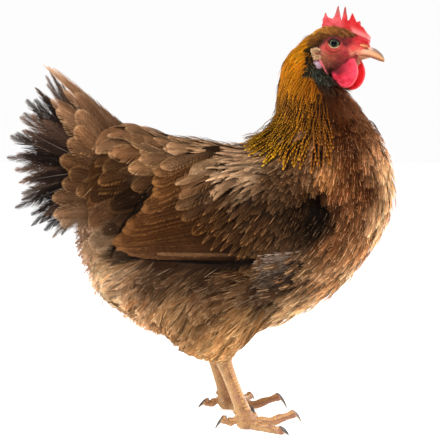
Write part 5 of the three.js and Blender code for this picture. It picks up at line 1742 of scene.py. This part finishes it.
contour_finish = feather_finish("contour feather", (216, 178, 138), 0.22, 0.7, shafts=0.2, root=0.7, rim=1.15,
                                streaks=1.0)
breast_finish = feather_finish("breast feather", (246, 212, 176), 0.0, 0.3, shafts=0.6, lit_from=0.5,
                               root=0.5, shine=(0.13, 1.8))
hackle_finish = feather_finish("hackle feather", (40, 28, 18), 0.0, 0.1, 0.5, (20, 12, 7), shafts=0.9,
                               shade=0.8, root=0.4)
down_finish = feather_finish("down", (206, 180, 152), 0.0, 0.2, 0.85, bars=9, shafts=0.3, shade=0.55,
                             root=0.75)
tuft_finish = feather_finish("ear tuft", (250, 226, 190), 0.0, 0.0, 0.8, shafts=0.2, shade=0.85, root=0.25)
quill_finish = feather_finish("wing feather", (196, 148, 100), 0.25, 0.9, 0.6, bars=70, shafts=0.4, rim=1.1,
                              streaks=1.0)
black_finish = feather_finish("tail feather", (150, 136, 124), 0.0, 0.5, 0.45, bars=60, shafts=0.4)
small_finish = feather_finish("head feather", (90, 60, 40), 0.0, 0.5, 0.6, shafts=0.3, shade=0.8, root=0.3)


def level(count, sink, lift, random, spread=0.35):
    """A height profile: sunk at the root, lifted at the tip, with some chance in it."""
    tips = (lift * (1 + spread * random.standard_normal(count)))[:, None]
    return lambda a: blend(-sink, tips, smooth(a, 0.0, 0.75)[None, :])


def both_sides(name):
    """A plumage for each side of the bird."""
    return {side: Plumage(f"{name}_{label}") for label, side in SIDES}


def cover(feathers, where, gap, vanes, length, width, lift, random, grow=None, sink=1.5, spread=6.0,
          lie=LIE, tones=COAT_TONES, shade=0.16, on_head=False, core=None, stand=0.0):
    """Feathers all over the places where gives, in sizes that follow grow; with stand they are straight."""

    def spacing(points):
        return np.where(where(points), gap * (grow(points) if grow else 1.0), 0.0)

    roots = hide.scatter(spacing, random)
    size = (grow(roots) if grow else np.ones(len(roots))) * (1 + 0.1 * random.standard_normal(len(roots)))
    lengths, widths = length * size, width * size
    places = unturn_head(roots) if on_head else roots
    ways = lie_of(places, random, spread, lie)
    if on_head:
        ways = head_ways(ways)
    if stand:
        path, facing = hide.stand_up(roots, ways, lengths, stand)
        bend = np.zeros(path.shape[:2])
    else:
        path, facing = hide.walk(roots, ways, lengths)
        bend = hide.bend_across(path, facing, widths)
    tips = unturn_head(path[:, -2]) if on_head else path[:, -2]
    tone, edge = coat_tones(tips, random, shade, tones)
    bake = bake_places(roots)
    cores = core(roots) if core else None
    lifts = lift(roots) if callable(lift) else np.full(len(roots), lift)
    which = random.integers(0, len(vanes), len(roots))
    for side, plumage in feathers.items():
        for k, vane in enumerate(vanes):
            chosen = (which == k) & (roots[:, 1] * side > 0)
            if not chosen.any():
                continue
            count = int(chosen.sum())
            plumage.lay(vane, path[chosen], facing[chosen], widths[chosen], bend[chosen],
                        level(count, sink, lifts[chosen], random), tone[chosen], edge[chosen],
                        bake[chosen], random, 0.12 * random.standard_normal(count),
                        core=1.0 if cores is None else cores[chosen])


def side_paths(rows, side, lift, steps=8, sag=0.0):
    """Stiff feathers on the flank: [tip x, tip z, degrees of the quill above level, length, half width]."""
    share = np.linspace(0, 1, steps)
    slope = np.radians(rows[:, 2:3])
    back = rows[:, 3:4] * (1 - share)
    droop = sag * rows[:, 3:4] * share**2
    x = rows[:, 0:1] + np.cos(slope) * back
    z = rows[:, 1:2] + np.sin(slope) * back + droop[:, -1:] - droop
    ground = np.empty(x.shape)
    facing = np.empty((*x.shape, 3))
    for i in np.ndindex(x.shape):
        spot, normal, _, _ = hide.tree.ray_cast((x[i], side * 160, z[i]), (0, -side, 0))
        if spot is None:
            spot, normal, _, _ = hide.tree.find_nearest((x[i], side * 30, z[i]))
        ground[i] = side * spot[1]
        facing[i] = normal
    basis = np.stack([np.ones(steps), share, share**2], 1)
    fit = (basis @ np.linalg.lstsq(basis, ground.T, rcond=None)[0]).T
    fit = fit + np.maximum((ground - fit).max(1, keepdims=True) * 0.9, 0)
    path = np.stack([x, side * (fit + lift), z], -1)
    facing = unit(facing.mean(1, keepdims=True) * 1.5 + facing)
    return path, facing


def lay_rows(plumage, vanes, rows, path, facing, sink, lift, twist, random, tones=None, camber=0.08):
    """Feathers one by one along given paths, each overlapping the one before it."""
    middle = path[:, path.shape[1] // 2]
    if tones is None:
        tones = coat_tones(path[:, -2], random, 0.12)
    bend = np.full(path.shape[:2], 0.004)
    for k in range(len(rows)):
        one = slice(k, k + 1)
        plumage.lay(vanes[k % len(vanes)], path[one], facing[one], rows[one, 4], bend[one],
                    level(1, sink, lift, random, 0.12), tones[0][one], tones[1][one],
                    bake_places(middle[one]), random, np.array([twist]), camber)


def rows_along(table, count, random, jitter=(2.5, 2, 2.5, 3, 0.4)):
    """Rows for a tract of feathers, between the rows of a short table."""
    rows = spline_rows(table, np.linspace(0, len(table) - 1, count))
    return rows + np.array(jitter) * random.uniform(-1, 1, rows.shape)


def in_wing(points):
    """On the folded wing's plate."""
    return (plate_share(points[:, 0], points[:, 2]) < 1.0) & (np.abs(points[:, 1]) > 35)


def in_head_part(points):
    """On the head and just behind it."""
    return (points[:, 2] > 340) & (unturn_head(points)[:, 0] > -17)


def in_hackle(points):
    """On the neck's cape of long feathers."""
    x, _, z = points.T
    hem = np.interp(x, [54, 62, 72, 88, 100, 131], [312, 298, 284, 286, 291, 294])
    front = np.interp(z, [285, 300, 325, 345, 358, 392], [120, 121, 117, 107, 104, 112])
    return (z > hem) & (x < front) & ((unturn_head(points)[:, 0] < -8) | (z < 346))


def in_throat(points):
    """On the throat and the front of the neck."""
    x, _, z = points.T
    front = np.interp(z, [285, 300, 325, 345, 358], [118, 119, 115, 105, 102])
    local = unturn_head(points)
    jaw = np.interp(local[:, 0], [-8, 6, 14, 26, 44], [357, 347, 345, 348, 354])
    return (z > 290) & (x > front) & ((z < 340) | (local[:, 2] < jaw))


def in_ruff(points):
    """The front of the throat, where the feathers stand out under the wattles."""
    _, y, z = points.T
    return (np.abs(y + 3) < 22) & (z > 331) & (z < 352) & (unturn_head(points)[:, 0] > -4) & in_throat(points)


def in_down(points):
    """In the loose down of the flanks and the belly."""
    x, _, z = points.T
    bottom = np.interp(x, [-125, -88, 60, 78, 95], [205, 180, 166, 152, 60])
    return (z < bottom) & (~in_wing(points) | (z < 166)) & (z > 74)


def in_fringe(points):
    """Down near the outline of the side view, where it stands out as a soft edge."""
    x, y, z = points.T
    return in_down(points) & (np.abs(y) < 34) & ((z < 112) | (x < -100)) & (x < 4)


def in_back(points):
    """On the back and the rump."""
    x, _, z = points.T
    return ~in_wing(points) & ~in_down(points) & (x < 62) & (z > 150) & ~in_hackle(points)


def in_breast(points):
    """On the breast, where no other part lies."""
    x, _, z = points.T
    taken = in_wing(points) | in_down(points) | in_head_part(points) | (in_hackle(points) & (z > 296))
    # the pocket between breast and wing is left bare, so the darkened skin there shows as painted shadow
    shadow_pocket = (x > 98) & (x < 120) & (z > 211) & (z < 230)
    return ~taken & ~shadow_pocket & (x >= 62) & (z > 66) & (z < 306)


def crown_part(points):
    """On the crown and the back of the head."""
    local = unturn_head(points)
    x, _, z = local.T
    brow = np.interp(x, [-8, 1, 5, 9, 18, 24, 31, 36, 41],
                     [366, 371, 375.5, 381, 383, 380, 377.5, 379.5, 386])
    behind = (x < -3) & (z > 346) & (np.abs(points[:, 2] - 300) > 45)
    return in_head_part(points) & (x < 39) & ((z > brow) | behind) & (z > 345)


def cheek_part(points):
    """On the bare cheek, where only bristles grow."""
    local = unturn_head(points)
    x, _, z = local.T
    return in_head_part(points) & (x > 0) & (x < 42) & (z < 368) & (bare_weight(local) > 0.5)


def feather_vanes(count, first, kind, barbs, angles, **shape):
    """Vanes of one kind that differ by chance; first is the number of the first one's seed."""
    return [Vane(kind, barbs, angles, SEED + first + k, **shape) for k in range(count)]


contour_vanes = feather_vanes(5, 0, "contour", 12, (50, 18), ragged=0.22, gap=0.12, waver=0.08, clump=3)
breast_vanes = feather_vanes(5, 10, "contour", 13, (46, 15), ragged=0.35, gap=0.25, waver=0.2, clump=3,
                             shaft=0.07)
down_vanes = feather_vanes(6, 20, "down", 10, (22, 7), ragged=0.4, gap=0.35, waver=0.3, segments=3, clump=3)
big_vanes = feather_vanes(4, 30, "contour", 26, (58, 20), ragged=0.05, gap=0.02, shaft=0.025)
lance_vanes = feather_vanes(4, 40, "lance", 10, (30, 11), ragged=0.15, gap=0.08, aspect=0.065, waver=0.06)
quill_vanes = feather_vanes(3, 50, "quill", 46, (40, 24), ragged=0.06, gap=0.04, aspect=0.075, shaft=0.03)
tail_vanes = feather_vanes(4, 60, "blade", 44, (34, 13), ragged=0.18, gap=0.1, aspect=0.12, waver=0.1,
                           segments=3, clump=6, shaft=0.03)
small_vanes = feather_vanes(4, 70, "contour", 6, (56, 22), ragged=0.3, gap=0.15, segments=1)
strand_vanes = feather_vanes(4, 80, "lance", 5, (30, 12), ragged=0.4, gap=0.3, aspect=0.1, waver=0.3)
bristle_vanes = feather_vanes(1, 90, "lance", 2, (24, 12), ragged=0.3, gap=0.3, aspect=0.1, segments=1)
covert_vanes = feather_vanes(3, 100, "lance", 16, (42, 13), ragged=0.08, gap=0.04, aspect=0.13, shaft=0.06)


def breast_size(points):
    """Smaller breast feathers up the neck."""
    return np.interp(points[:, 2], [100, 200, 270, 312], [1.15, 1.0, 0.75, 0.55])


def down_size(points):
    """Shorter down near the feet."""
    return np.interp(points[:, 2], [74, 86, 118], [0.4, 0.6, 1.0])


def back_size(points):
    """Longer back feathers toward the tail."""
    return np.interp(points[:, 0], [-100, -50, 0, 50], [1.45, 1.3, 1.05, 0.9])


def wing_size(points):
    """Smaller coverts up the wing."""
    return np.interp(points[:, 0] + 0.25 * (points[:, 2] - 200), [-20, 30, 95], [1.25, 0.95, 0.6])


def hackle_size(points):
    """Shorter cape feathers up the neck and at its rear."""
    rear = np.interp(points[:, 0], [52, 66, 82], [0.5, 0.7, 1.0])
    return np.interp(points[:, 2], [285, 320, 345, 388], [1.0, 0.75, 0.5, 0.3]) * np.maximum(
        rear, smooth(points[:, 2], 312, 334))


def hackle_lift(points):
    """How far the cape's feathers stand off the neck."""
    return np.interp(points[:, 2], [296, 312, 334, 360], [8.4, 5.0, 3.2, 2.0])


def throat_size(points):
    """Shorter throat feathers up the neck."""
    return np.interp(points[:, 2], [288, 320, 345], [1.0, 0.7, 0.5])


def rear_back(points):
    """The rear of the back, with its broad feathers."""
    return in_back(points) & (points[:, 0] < 6)


def fore_back(points):
    """The front of the back, with its narrow feathers."""
    return in_back(points) & (points[:, 0] >= 6)


def hackle_core(points):
    """How strong the dark middle of a cape's feather is, less up the neck."""
    return 1 - 0.75 * smooth(points[:, 2], 325, 365)


breast = both_sides("breast_feathers")
cover(breast, in_breast, 5.4, breast_vanes, 30, 5.2, 4.4, random, breast_size, spread=6)
back = both_sides("back_feathers")
cover(back, rear_back, 7.4, big_vanes, 34, 8.2, 3.8, random, back_size)
cover(back, fore_back, 5.2, covert_vanes, 34, 4.6, 3.0, random, spread=4)
fluff = both_sides("fluff")
cover(fluff, in_down, 4.9, down_vanes, 42, 4.4, 3.6, random, down_size, spread=9, sink=1.0, shade=0.4)
fringe = both_sides("fringe_down")
cover(fringe, in_fringe, 3.5, strand_vanes, 20, 1.6, 0.6, random, down_size, spread=16, sink=0.0,
      tones=FRINGE_TONES, shade=0.2, stand=0.5)

# Tracts of the wing: how many feathers, lift, sag, twist, vanes, and rows from the lowest feather up
WING_TRACTS = (
    (6, 3.6, 0.0, 0.05, quill_vanes,
     ((-80, 171.5, -2.8, 142, 1.5), (-84, 174.5, -0.5, 142, 5), (-87, 180, 4, 138, 8))),
    (13, 4.4, 0.02, 0.12, quill_vanes,
     ((-86, 183, 7, 116, 8.5), (-77, 193, 12, 108, 9.5), (-66, 207, 18, 98, 10.5), (-52, 221, 25, 86, 11),
      (-48, 233, 27, 78, 11), (-45, 246, 25, 70, 10.5), (-42, 255, 20, 62, 9.5))),
    (7, 5.4, 0.03, 0.10, big_vanes,
     ((-10, 190, 40, 46, 8), (-22, 210, 34, 50, 9), (-26, 228, 30, 54, 9.5), (-24, 243, 24, 54, 9.5),
      (-12, 254, 18, 54, 9))),
    (9, 5.4, 0.02, 0.10, covert_vanes,
     ((48, 167, 52, 32, 4), (26, 170, 50, 34, 4.6), (4, 180, 48, 36, 5), (-8, 198, 44, 40, 5.6))),
    (8, 6.0, 0.02, 0.10, covert_vanes,
     ((50, 178, 52, 30, 4), (30, 182, 50, 32, 4.4), (12, 191, 48, 34, 4.8), (0, 210, 42, 40, 5.6))),
    (7, 6.6, 0.02, 0.10, covert_vanes,
     ((54, 189, 54, 28, 3.8), (38, 195, 52, 30, 4.2), (23, 206, 48, 34, 4.6), (10, 224, 40, 40, 5.6))),
)
# Tones that the tracts of a wing go to: [vanes, share, tone, share of the edge, its tone]
WING_TONES = (
    (covert_vanes, 0.5, (58, 34, 18), 0.7, (180, 124, 72)),
    (quill_vanes, 0.6, (80, 46, 22), 0.5, (156, 102, 56)),
)
LOWEST_TONES = ((128, 88, 56), (206, 158, 112))
# Painted shadow: nearly black vanes laid where the gaps between feathers fall in shade: [tip x, tip z,
# degrees, length, half width]
SHADOW_SLITS = (
    (-13, 234.5, 30, 18, 1.1), (36, 266, 16, 22, 2.0), (-22, 267, 6, 17, 1.2), (14, 212, 50, 12, 1.2),
    (-9, 222, 44, 12, 1.0), (30, 214, 60, 10, 1.2), (-73, 204, 48, 24, 2.6), (-62, 222, 50, 24, 2.6),
)
# Painted shadow in the hollow under the wing's lower edge, and behind the wing
UNDER_WING_SHADOW = (
    (-78, 168.5, -2.5, 110, 1.8), (-30, 166, -1.5, 80, 2.4), (20, 163.5, 1, 50, 4.0), (30, 162, 5, 44, 6.4),
)
BEHIND_WING_SHADOW = ((-91, 165, 66, 30, 4.6), (-86, 180, 60, 30, 4.6), (-80, 192, 56, 26, 4.0))
# The near-black tone of the painted shadow
PAINTED_SHADOW_TONE = (12, 8, 5)


def dark_gaps(wing, side, vanes, table, out, sink, lift):
    """Nearly black feathers laid as painted shadow, in the gaps between the others."""
    rows = np.array(table)
    path, facing = side_paths(rows, side, out)
    # the painted shadow's near-black tone, for each vane and its edge
    dark = np.tile(paint(*PAINTED_SHADOW_TONE), (len(rows), 1))
    lay_rows(wing, vanes, rows, path, facing, sink, lift, 0.0, random, (dark, dark))


wings = both_sides("wing_feathers")
for side, wing in wings.items():
    # painted shadow under and behind the wing
    dark_gaps(wing, side, quill_vanes, UNDER_WING_SHADOW, 4.4, 0.5, 0.3)
    dark_gaps(wing, side, covert_vanes, BEHIND_WING_SHADOW, 4.2, 0.5, 0.3)
    for count, lift, sag, twist, vanes, table in WING_TRACTS:
        rows = rows_along(table, count, random)
        path, facing = side_paths(rows, side, lift, sag=sag)
        tone, edge = coat_tones(path[:, -2], random, 0.12)
        for kind, share, own, edge_share, own_edge in WING_TONES:
            if vanes is kind:
                tone, edge = blend(tone, paint(*own), share), blend(edge, paint(*own_edge), edge_share)
        if sag == 0:
            tone[0], edge[0] = (paint(*own) for own in LOWEST_TONES)
        lay_rows(wing, vanes, rows, path, facing, 3.0, 0.8, -side * twist, random, (tone, edge))


def lesser_part(points):
    """On the front of the wing, where the smallest coverts lie."""
    x, _, z = points.T
    front = x > np.interp(z, [165, 190, 215, 250], [58, 42, 26, -4])
    # the pocket between breast and wing is left bare, so the darkened skin there shows as painted shadow
    shadow_pocket = (x > 102) & (z > 211) & (z < 230)
    return in_wing(points) & front & ~shadow_pocket


cover(wings, lesser_part, 4.7, contour_vanes[:2] + covert_vanes, 30, 4.0, 3.6, random, wing_size, sink=0.5,
      spread=5)
for side, wing in wings.items():
    # painted shadow in the slits between the coverts
    dark_gaps(wing, side, covert_vanes, SHADOW_SLITS, 7.6, 1.0, 0.6)

# Grey down that fans out from under the breast: [tip x, tip z, degrees, length, half width]
FLANK_TUFT = ((53, 171, 5, 44, 1.8), (50, 163, 9, 44, 1.8), (52, 154, 14, 42, 2.0), (50, 144, 20, 44, 2.2),
              (46, 132, 25, 46, 2.4), (44, 121, 28, 46, 2.4))
TUFT_TONES = ((53, 176, (150, 124, 106), (226, 206, 190)), (50, 165, (96, 76, 62), (184, 160, 140)),
              (50, 150, (50, 38, 30), (130, 108, 90)), (48, 136, (48, 35, 25), (122, 96, 74)),
              (44, 121, (78, 54, 36), (160, 122, 88)))
for side, plumage in fluff.items():
    rows = rows_along(FLANK_TUFT, 64, random, (6, 3, 5, 6, 0.3))
    path, facing = side_paths(rows, side, 4.6)
    lay_rows(plumage, strand_vanes, rows, path, facing, 1.0, 1.6, 0.0, random,
             coat_tones(path[:, -2], random, 0.25, TUFT_TONES))

hackle = both_sides("hackle_feathers")
cover(hackle, in_hackle, 3.6, lance_vanes, 50, 4.2, hackle_lift, random, hackle_size, sink=0.4, spread=5,
      lie=HACKLE_LIE, tones=HACKLE_TONES, core=hackle_core)

head = both_sides("head_feathers")
cover(head, in_throat, 2.9, lance_vanes, 22, 2.4, 1.6, random, throat_size, sink=0.9, spread=9,
      lie=THROAT_LIE, tones=THROAT_TONES)
cover(head, in_ruff, 1.9, lance_vanes, 15, 2.6, 4.8, random, sink=0.0, spread=7,
      lie=THROAT_LIE, tones=THROAT_TONES, shade=0.3)
cover(head, crown_part, 1.7, small_vanes, 7.0, 1.7, 1.2, random, sink=0.3, spread=10,
      lie=HEAD_LIE, tones=HEAD_TONES, shade=0.42, on_head=True)
cover(head, cheek_part, 1.7, bristle_vanes, 3.2, 0.3, 1.0, random, sink=0.3, spread=16,
      lie=HEAD_LIE, tones=HEAD_TONES, shade=0.3, on_head=True)


def tuft(plumage, side, kind, random):
    """A round tuft that fans out over the skin from its middle, in the head's frame."""
    count = kind["count"]
    turn = np.radians(random.uniform(*kind["ways"], count))
    far = kind["radius"] * np.sqrt(random.random(count))
    x, y, z = kind["middle"]
    local = np.stack([x + far * np.cos(turn), np.full(count, side * y), z + far * np.sin(turn)], 1)
    roots, _ = hide.nearest(turn_head(local))
    headings = head_ways(np.stack([np.cos(turn), turn * 0, np.sin(turn)], 1))
    path, facing = hide.walk(roots, headings, kind["long"] * random.uniform(0.75, 1.15, count))
    bend = np.zeros(path.shape[:2])
    shade = random.uniform(0.5, 1.2, (count, 1))
    tone, edge = (paint(*kind[name]) * shade for name in ("tone", "edge"))
    for k, vane in enumerate(strand_vanes):
        chosen = np.arange(count) % len(strand_vanes) == k
        some = int(chosen.sum())
        plumage.lay(vane, path[chosen], facing[chosen], np.full(some, kind["half"]), bend[chosen],
                    level(some, 0.2, kind["lift"], random), tone[chosen], edge[chosen],
                    bake_places(roots[chosen]), random)


tufts = both_sides("ear_tuft")
for side in (RIGHT, LEFT):
    tuft(tufts[side], side, EAR_TUFT, random)
    tuft(head[side], side, CHIN_TUFT, random)

# Tail feathers in each leaf: [degrees, length, half width]
TAIL_FAN = (
    (127, 118, 4), (131, 116, 4.5), (138, 118, 6), (143, 112, 7.5), (148, 104, 8.5), (153, 111, 8),
    (158, 104, 8.5), (163, 112, 8.5), (170, 107, 8.5), (177, 101, 8.5), (184, 98, 8.5), (190, 94, 8),
    (196, 104, 8), (204, 97, 7.5), (210, 98, 7), (217, 93, 7), (224, 94, 6),
)


def tail_paths(side, rows, out, steps=8):
    """Tail feathers on a leaf of the fan, bent a little outward."""
    share = np.linspace(0, 1, steps)
    reach = blend(36.0, rows[:, 1:2], share)
    angle = rows[:, 0:1] + 4 * (share - 0.4) * np.sign(rows[:, 0:1] - 165)
    path = tail_points(side, angle, reach, out)
    ahead = unit(np.gradient(path, axis=1))
    up = tail_points(side, angle + 4, reach, out) - tail_points(side, angle - 4, reach, out)
    facing = side * unit(np.cross(ahead, up)) * -1
    facing = facing * np.sign((facing * (0, side, 0)).sum(-1, keepdims=True))
    return path, facing


tail = both_sides("tail_feathers")
for side, plumage in tail.items():
    for layer, (step, shorter) in enumerate(((1, 0), (2, 14))):
        rows = np.array(TAIL_FAN[::step], float)
        rows[:, 1] -= shorter
        rows += np.array([1.6, 3, 0.5]) * random.uniform(-1, 1, rows.shape)
        path, facing = tail_paths(side, rows, 1.5 * layer)
        rows = np.hstack([rows[:, :2], rows[:, :2], rows[:, 2:]])
        brown = random.random((len(rows), 1)) ** 2.5
        dark = blend(paint(26, 20, 18), paint(88, 64, 50), brown) * random.uniform(0.6, 1.3, (len(rows), 1))
        tips = blend(paint(54, 44, 38), paint(150, 112, 86), brown) * random.uniform(0.6, 1.3, (len(rows), 1))
        lay_rows(plumage, tail_vanes, rows, path, facing, 0.5, 0.5, -side * 0.14, random, (dark, tips))

# Brown coverts over the tail's root: [root x, root z, tip x, tip z, half width, out]
TAIL_COVERTS = (
    (-62, 281, -160, 354, 3.6, 3), (-64, 280, -152, 352, 5, 4), (-66, 279, -146, 346, 6.5, 5),
    (-76, 270, -140, 331, 6, 6), (-82, 268, -150, 322, 8, 6), (-82, 264, -146, 312, 11, 7),
    (-86, 258, -138, 298, 11, 8), (-84, 272, -128, 326, 11, 8), (-90, 268, -126, 310, 11, 9),
    (-92, 258, -128, 294, 11, 10), (-94, 250, -134, 280, 11, 10), (-96, 242, -140, 262, 11, 10),
    (-98, 234, -134, 250, 11, 11), (-98, 226, -138, 238, 11, 12), (-98, 218, -150, 222, 11, 12),
    (-100, 210, -146, 208, 10, 12), (-102, 202, -140, 200, 9, 11), (-92, 240, -124, 226, 11, 13),
)
for side, plumage in back.items():
    rows = np.array(TAIL_COVERTS)
    rows = rows + np.array([1, 1, 2, 2, 0.3, 0]) * random.uniform(-1, 1, rows.shape)
    share = np.linspace(0, 1, 8)
    length = np.hypot(rows[:, 2] - rows[:, 0], rows[:, 3] - rows[:, 1])[:, None]
    arch = np.interp(rows[:, 3:4], [318, 342], [0.06, -0.12]) * length * np.sin(math.pi * share)
    x = blend(rows[:, 0:1], rows[:, 2:3], share) + arch * (rows[:, 1:2] - rows[:, 3:4]) / length
    z = blend(rows[:, 1:2], rows[:, 3:4], share) - arch * (rows[:, 2:3] - rows[:, 0:1]) / length
    degrees = np.degrees(np.arctan2(z - TAIL_ROOT[1], x - TAIL_ROOT[0])) % 360
    reach = np.hypot(z - TAIL_ROOT[1], x - TAIL_ROOT[0])
    width = flank_at(np.clip(x, -112, None), z)
    spread = tail_spread(degrees, reach) + rows[:, 5:6] * 0.6
    near = smooth(x, -118, -84)
    y = side * blend(spread, np.maximum(width, spread), near * smooth(z, 300, 240))
    path = np.stack([x, y, z], -1)
    facing = np.tile(np.array([0.0, side, 0.15]), (*x.shape, 1))
    lay_rows(plumage, big_vanes, rows, path, unit(facing), 0.5, 1.0, -side * 0.1, random)

for feathers, finish, slot, nodes in (
    (breast, breast_finish, "brown_feather", ()), (back, contour_finish, "brown_feather", ()),
    (fluff, down_finish, "fluff", ()), (wings, quill_finish, "brown_feather", ("wing_{}",)),
    (hackle, hackle_finish, "gold_feather", ()), (head, small_finish, "brown_feather", ()),
    (tail, black_finish, "black_feather", ()), (tufts, tuft_finish, "fluff", ()),
    (fringe, tuft_finish, "fluff", ()),
):
    for label, side in SIDES:
        replaced = [node.format(label) for node in nodes]
        if feathers is tail and side == RIGHT:
            replaced = ["tail"]
        piece(feathers[side].name, feathers[side].mesh(), finish, replaced)


head_pieces()
feet()


# ---------------------------------------------------------------- floor, light and camera
# Lamps: [name, place, size, power], all aimed at one place
LAMPS = (
    ("key", (-0.5, -1.5, 1.9), 1.0, 52), ("fill", (1.7, -1.0, 0.8), 1.2, 9),
    ("front rim", (1.5, 0.7, 0.6), 0.9, 30), ("rear rim", (-1.5, 0.7, 0.5), 0.9, 26),
)
LAMP_AIM = (0, 0, 0.2)
FLOOR_HALF = 9
# The lens sees width pixels where it is focal pixels long
CAMERA = {"place": (0.016, -1.5 + MIDDLE_Y * MM, 0.300), "down": 3.8, "sensor": 36, "focal": 1503,
          "width": 440}


def area_light(name, place, size, power):
    """A soft lamp over the floor."""
    lamp = bpy.data.lights.new(name, "AREA")
    lamp.shape = "RECTANGLE"
    lamp.size, lamp.size_y = size, size
    lamp.energy = power
    thing = placed(name, lamp)
    thing.location = place
    thing.rotation_euler = (Vector(LAMP_AIM) - Vector(place)).to_track_quat("-Z", "Y").to_euler()


def studio():
    """A pale floor, a bright world and the lamps."""
    floor = Finish("studio floor", Roughness=0.9, Emission_Strength=0.6, Base_Color=(0.92, 0.92, 0.92, 1),
                   Emission_Color=(1, 1, 1, 1))
    corners = [(x * FLOOR_HALF, y * FLOOR_HALF, 0) for x, y in ((-1, -1), (1, -1), (1, 1), (-1, 1))]
    mesh = bpy.data.meshes.new("floor")
    mesh.from_pydata(corners, [], [(0, 1, 2, 3)])
    mesh.materials.append(floor.material)
    placed("floor", mesh)
    world = bpy.data.worlds.new("studio")
    world.use_nodes = True
    seen = Graph(world.node_tree).node("ShaderNodeLightPath")
    strength = seen * 0.52 + 0.46
    sky = world.node_tree.nodes["Background"]
    sky.inputs["Color"].default_value = (1, 1, 1, 1)
    world.node_tree.links.new(strength.socket, sky.inputs["Strength"])
    bpy.context.scene.world = world
    bpy.context.scene.view_settings.view_transform = "Standard"
    for lamp in LAMPS:
        area_light(*lamp)


def camera():
    """The camera, level with the bird's neck and turned a little down."""
    lens = bpy.data.cameras.new("camera")
    lens.sensor_width = CAMERA["sensor"]
    lens.lens = CAMERA["sensor"] * CAMERA["focal"] / CAMERA["width"]
    thing = placed("camera", lens)
    thing.location = CAMERA["place"]
    thing.rotation_euler = (math.radians(90 - CAMERA["down"]), 0, 0)
    bpy.context.scene.camera = thing


studio()
camera()
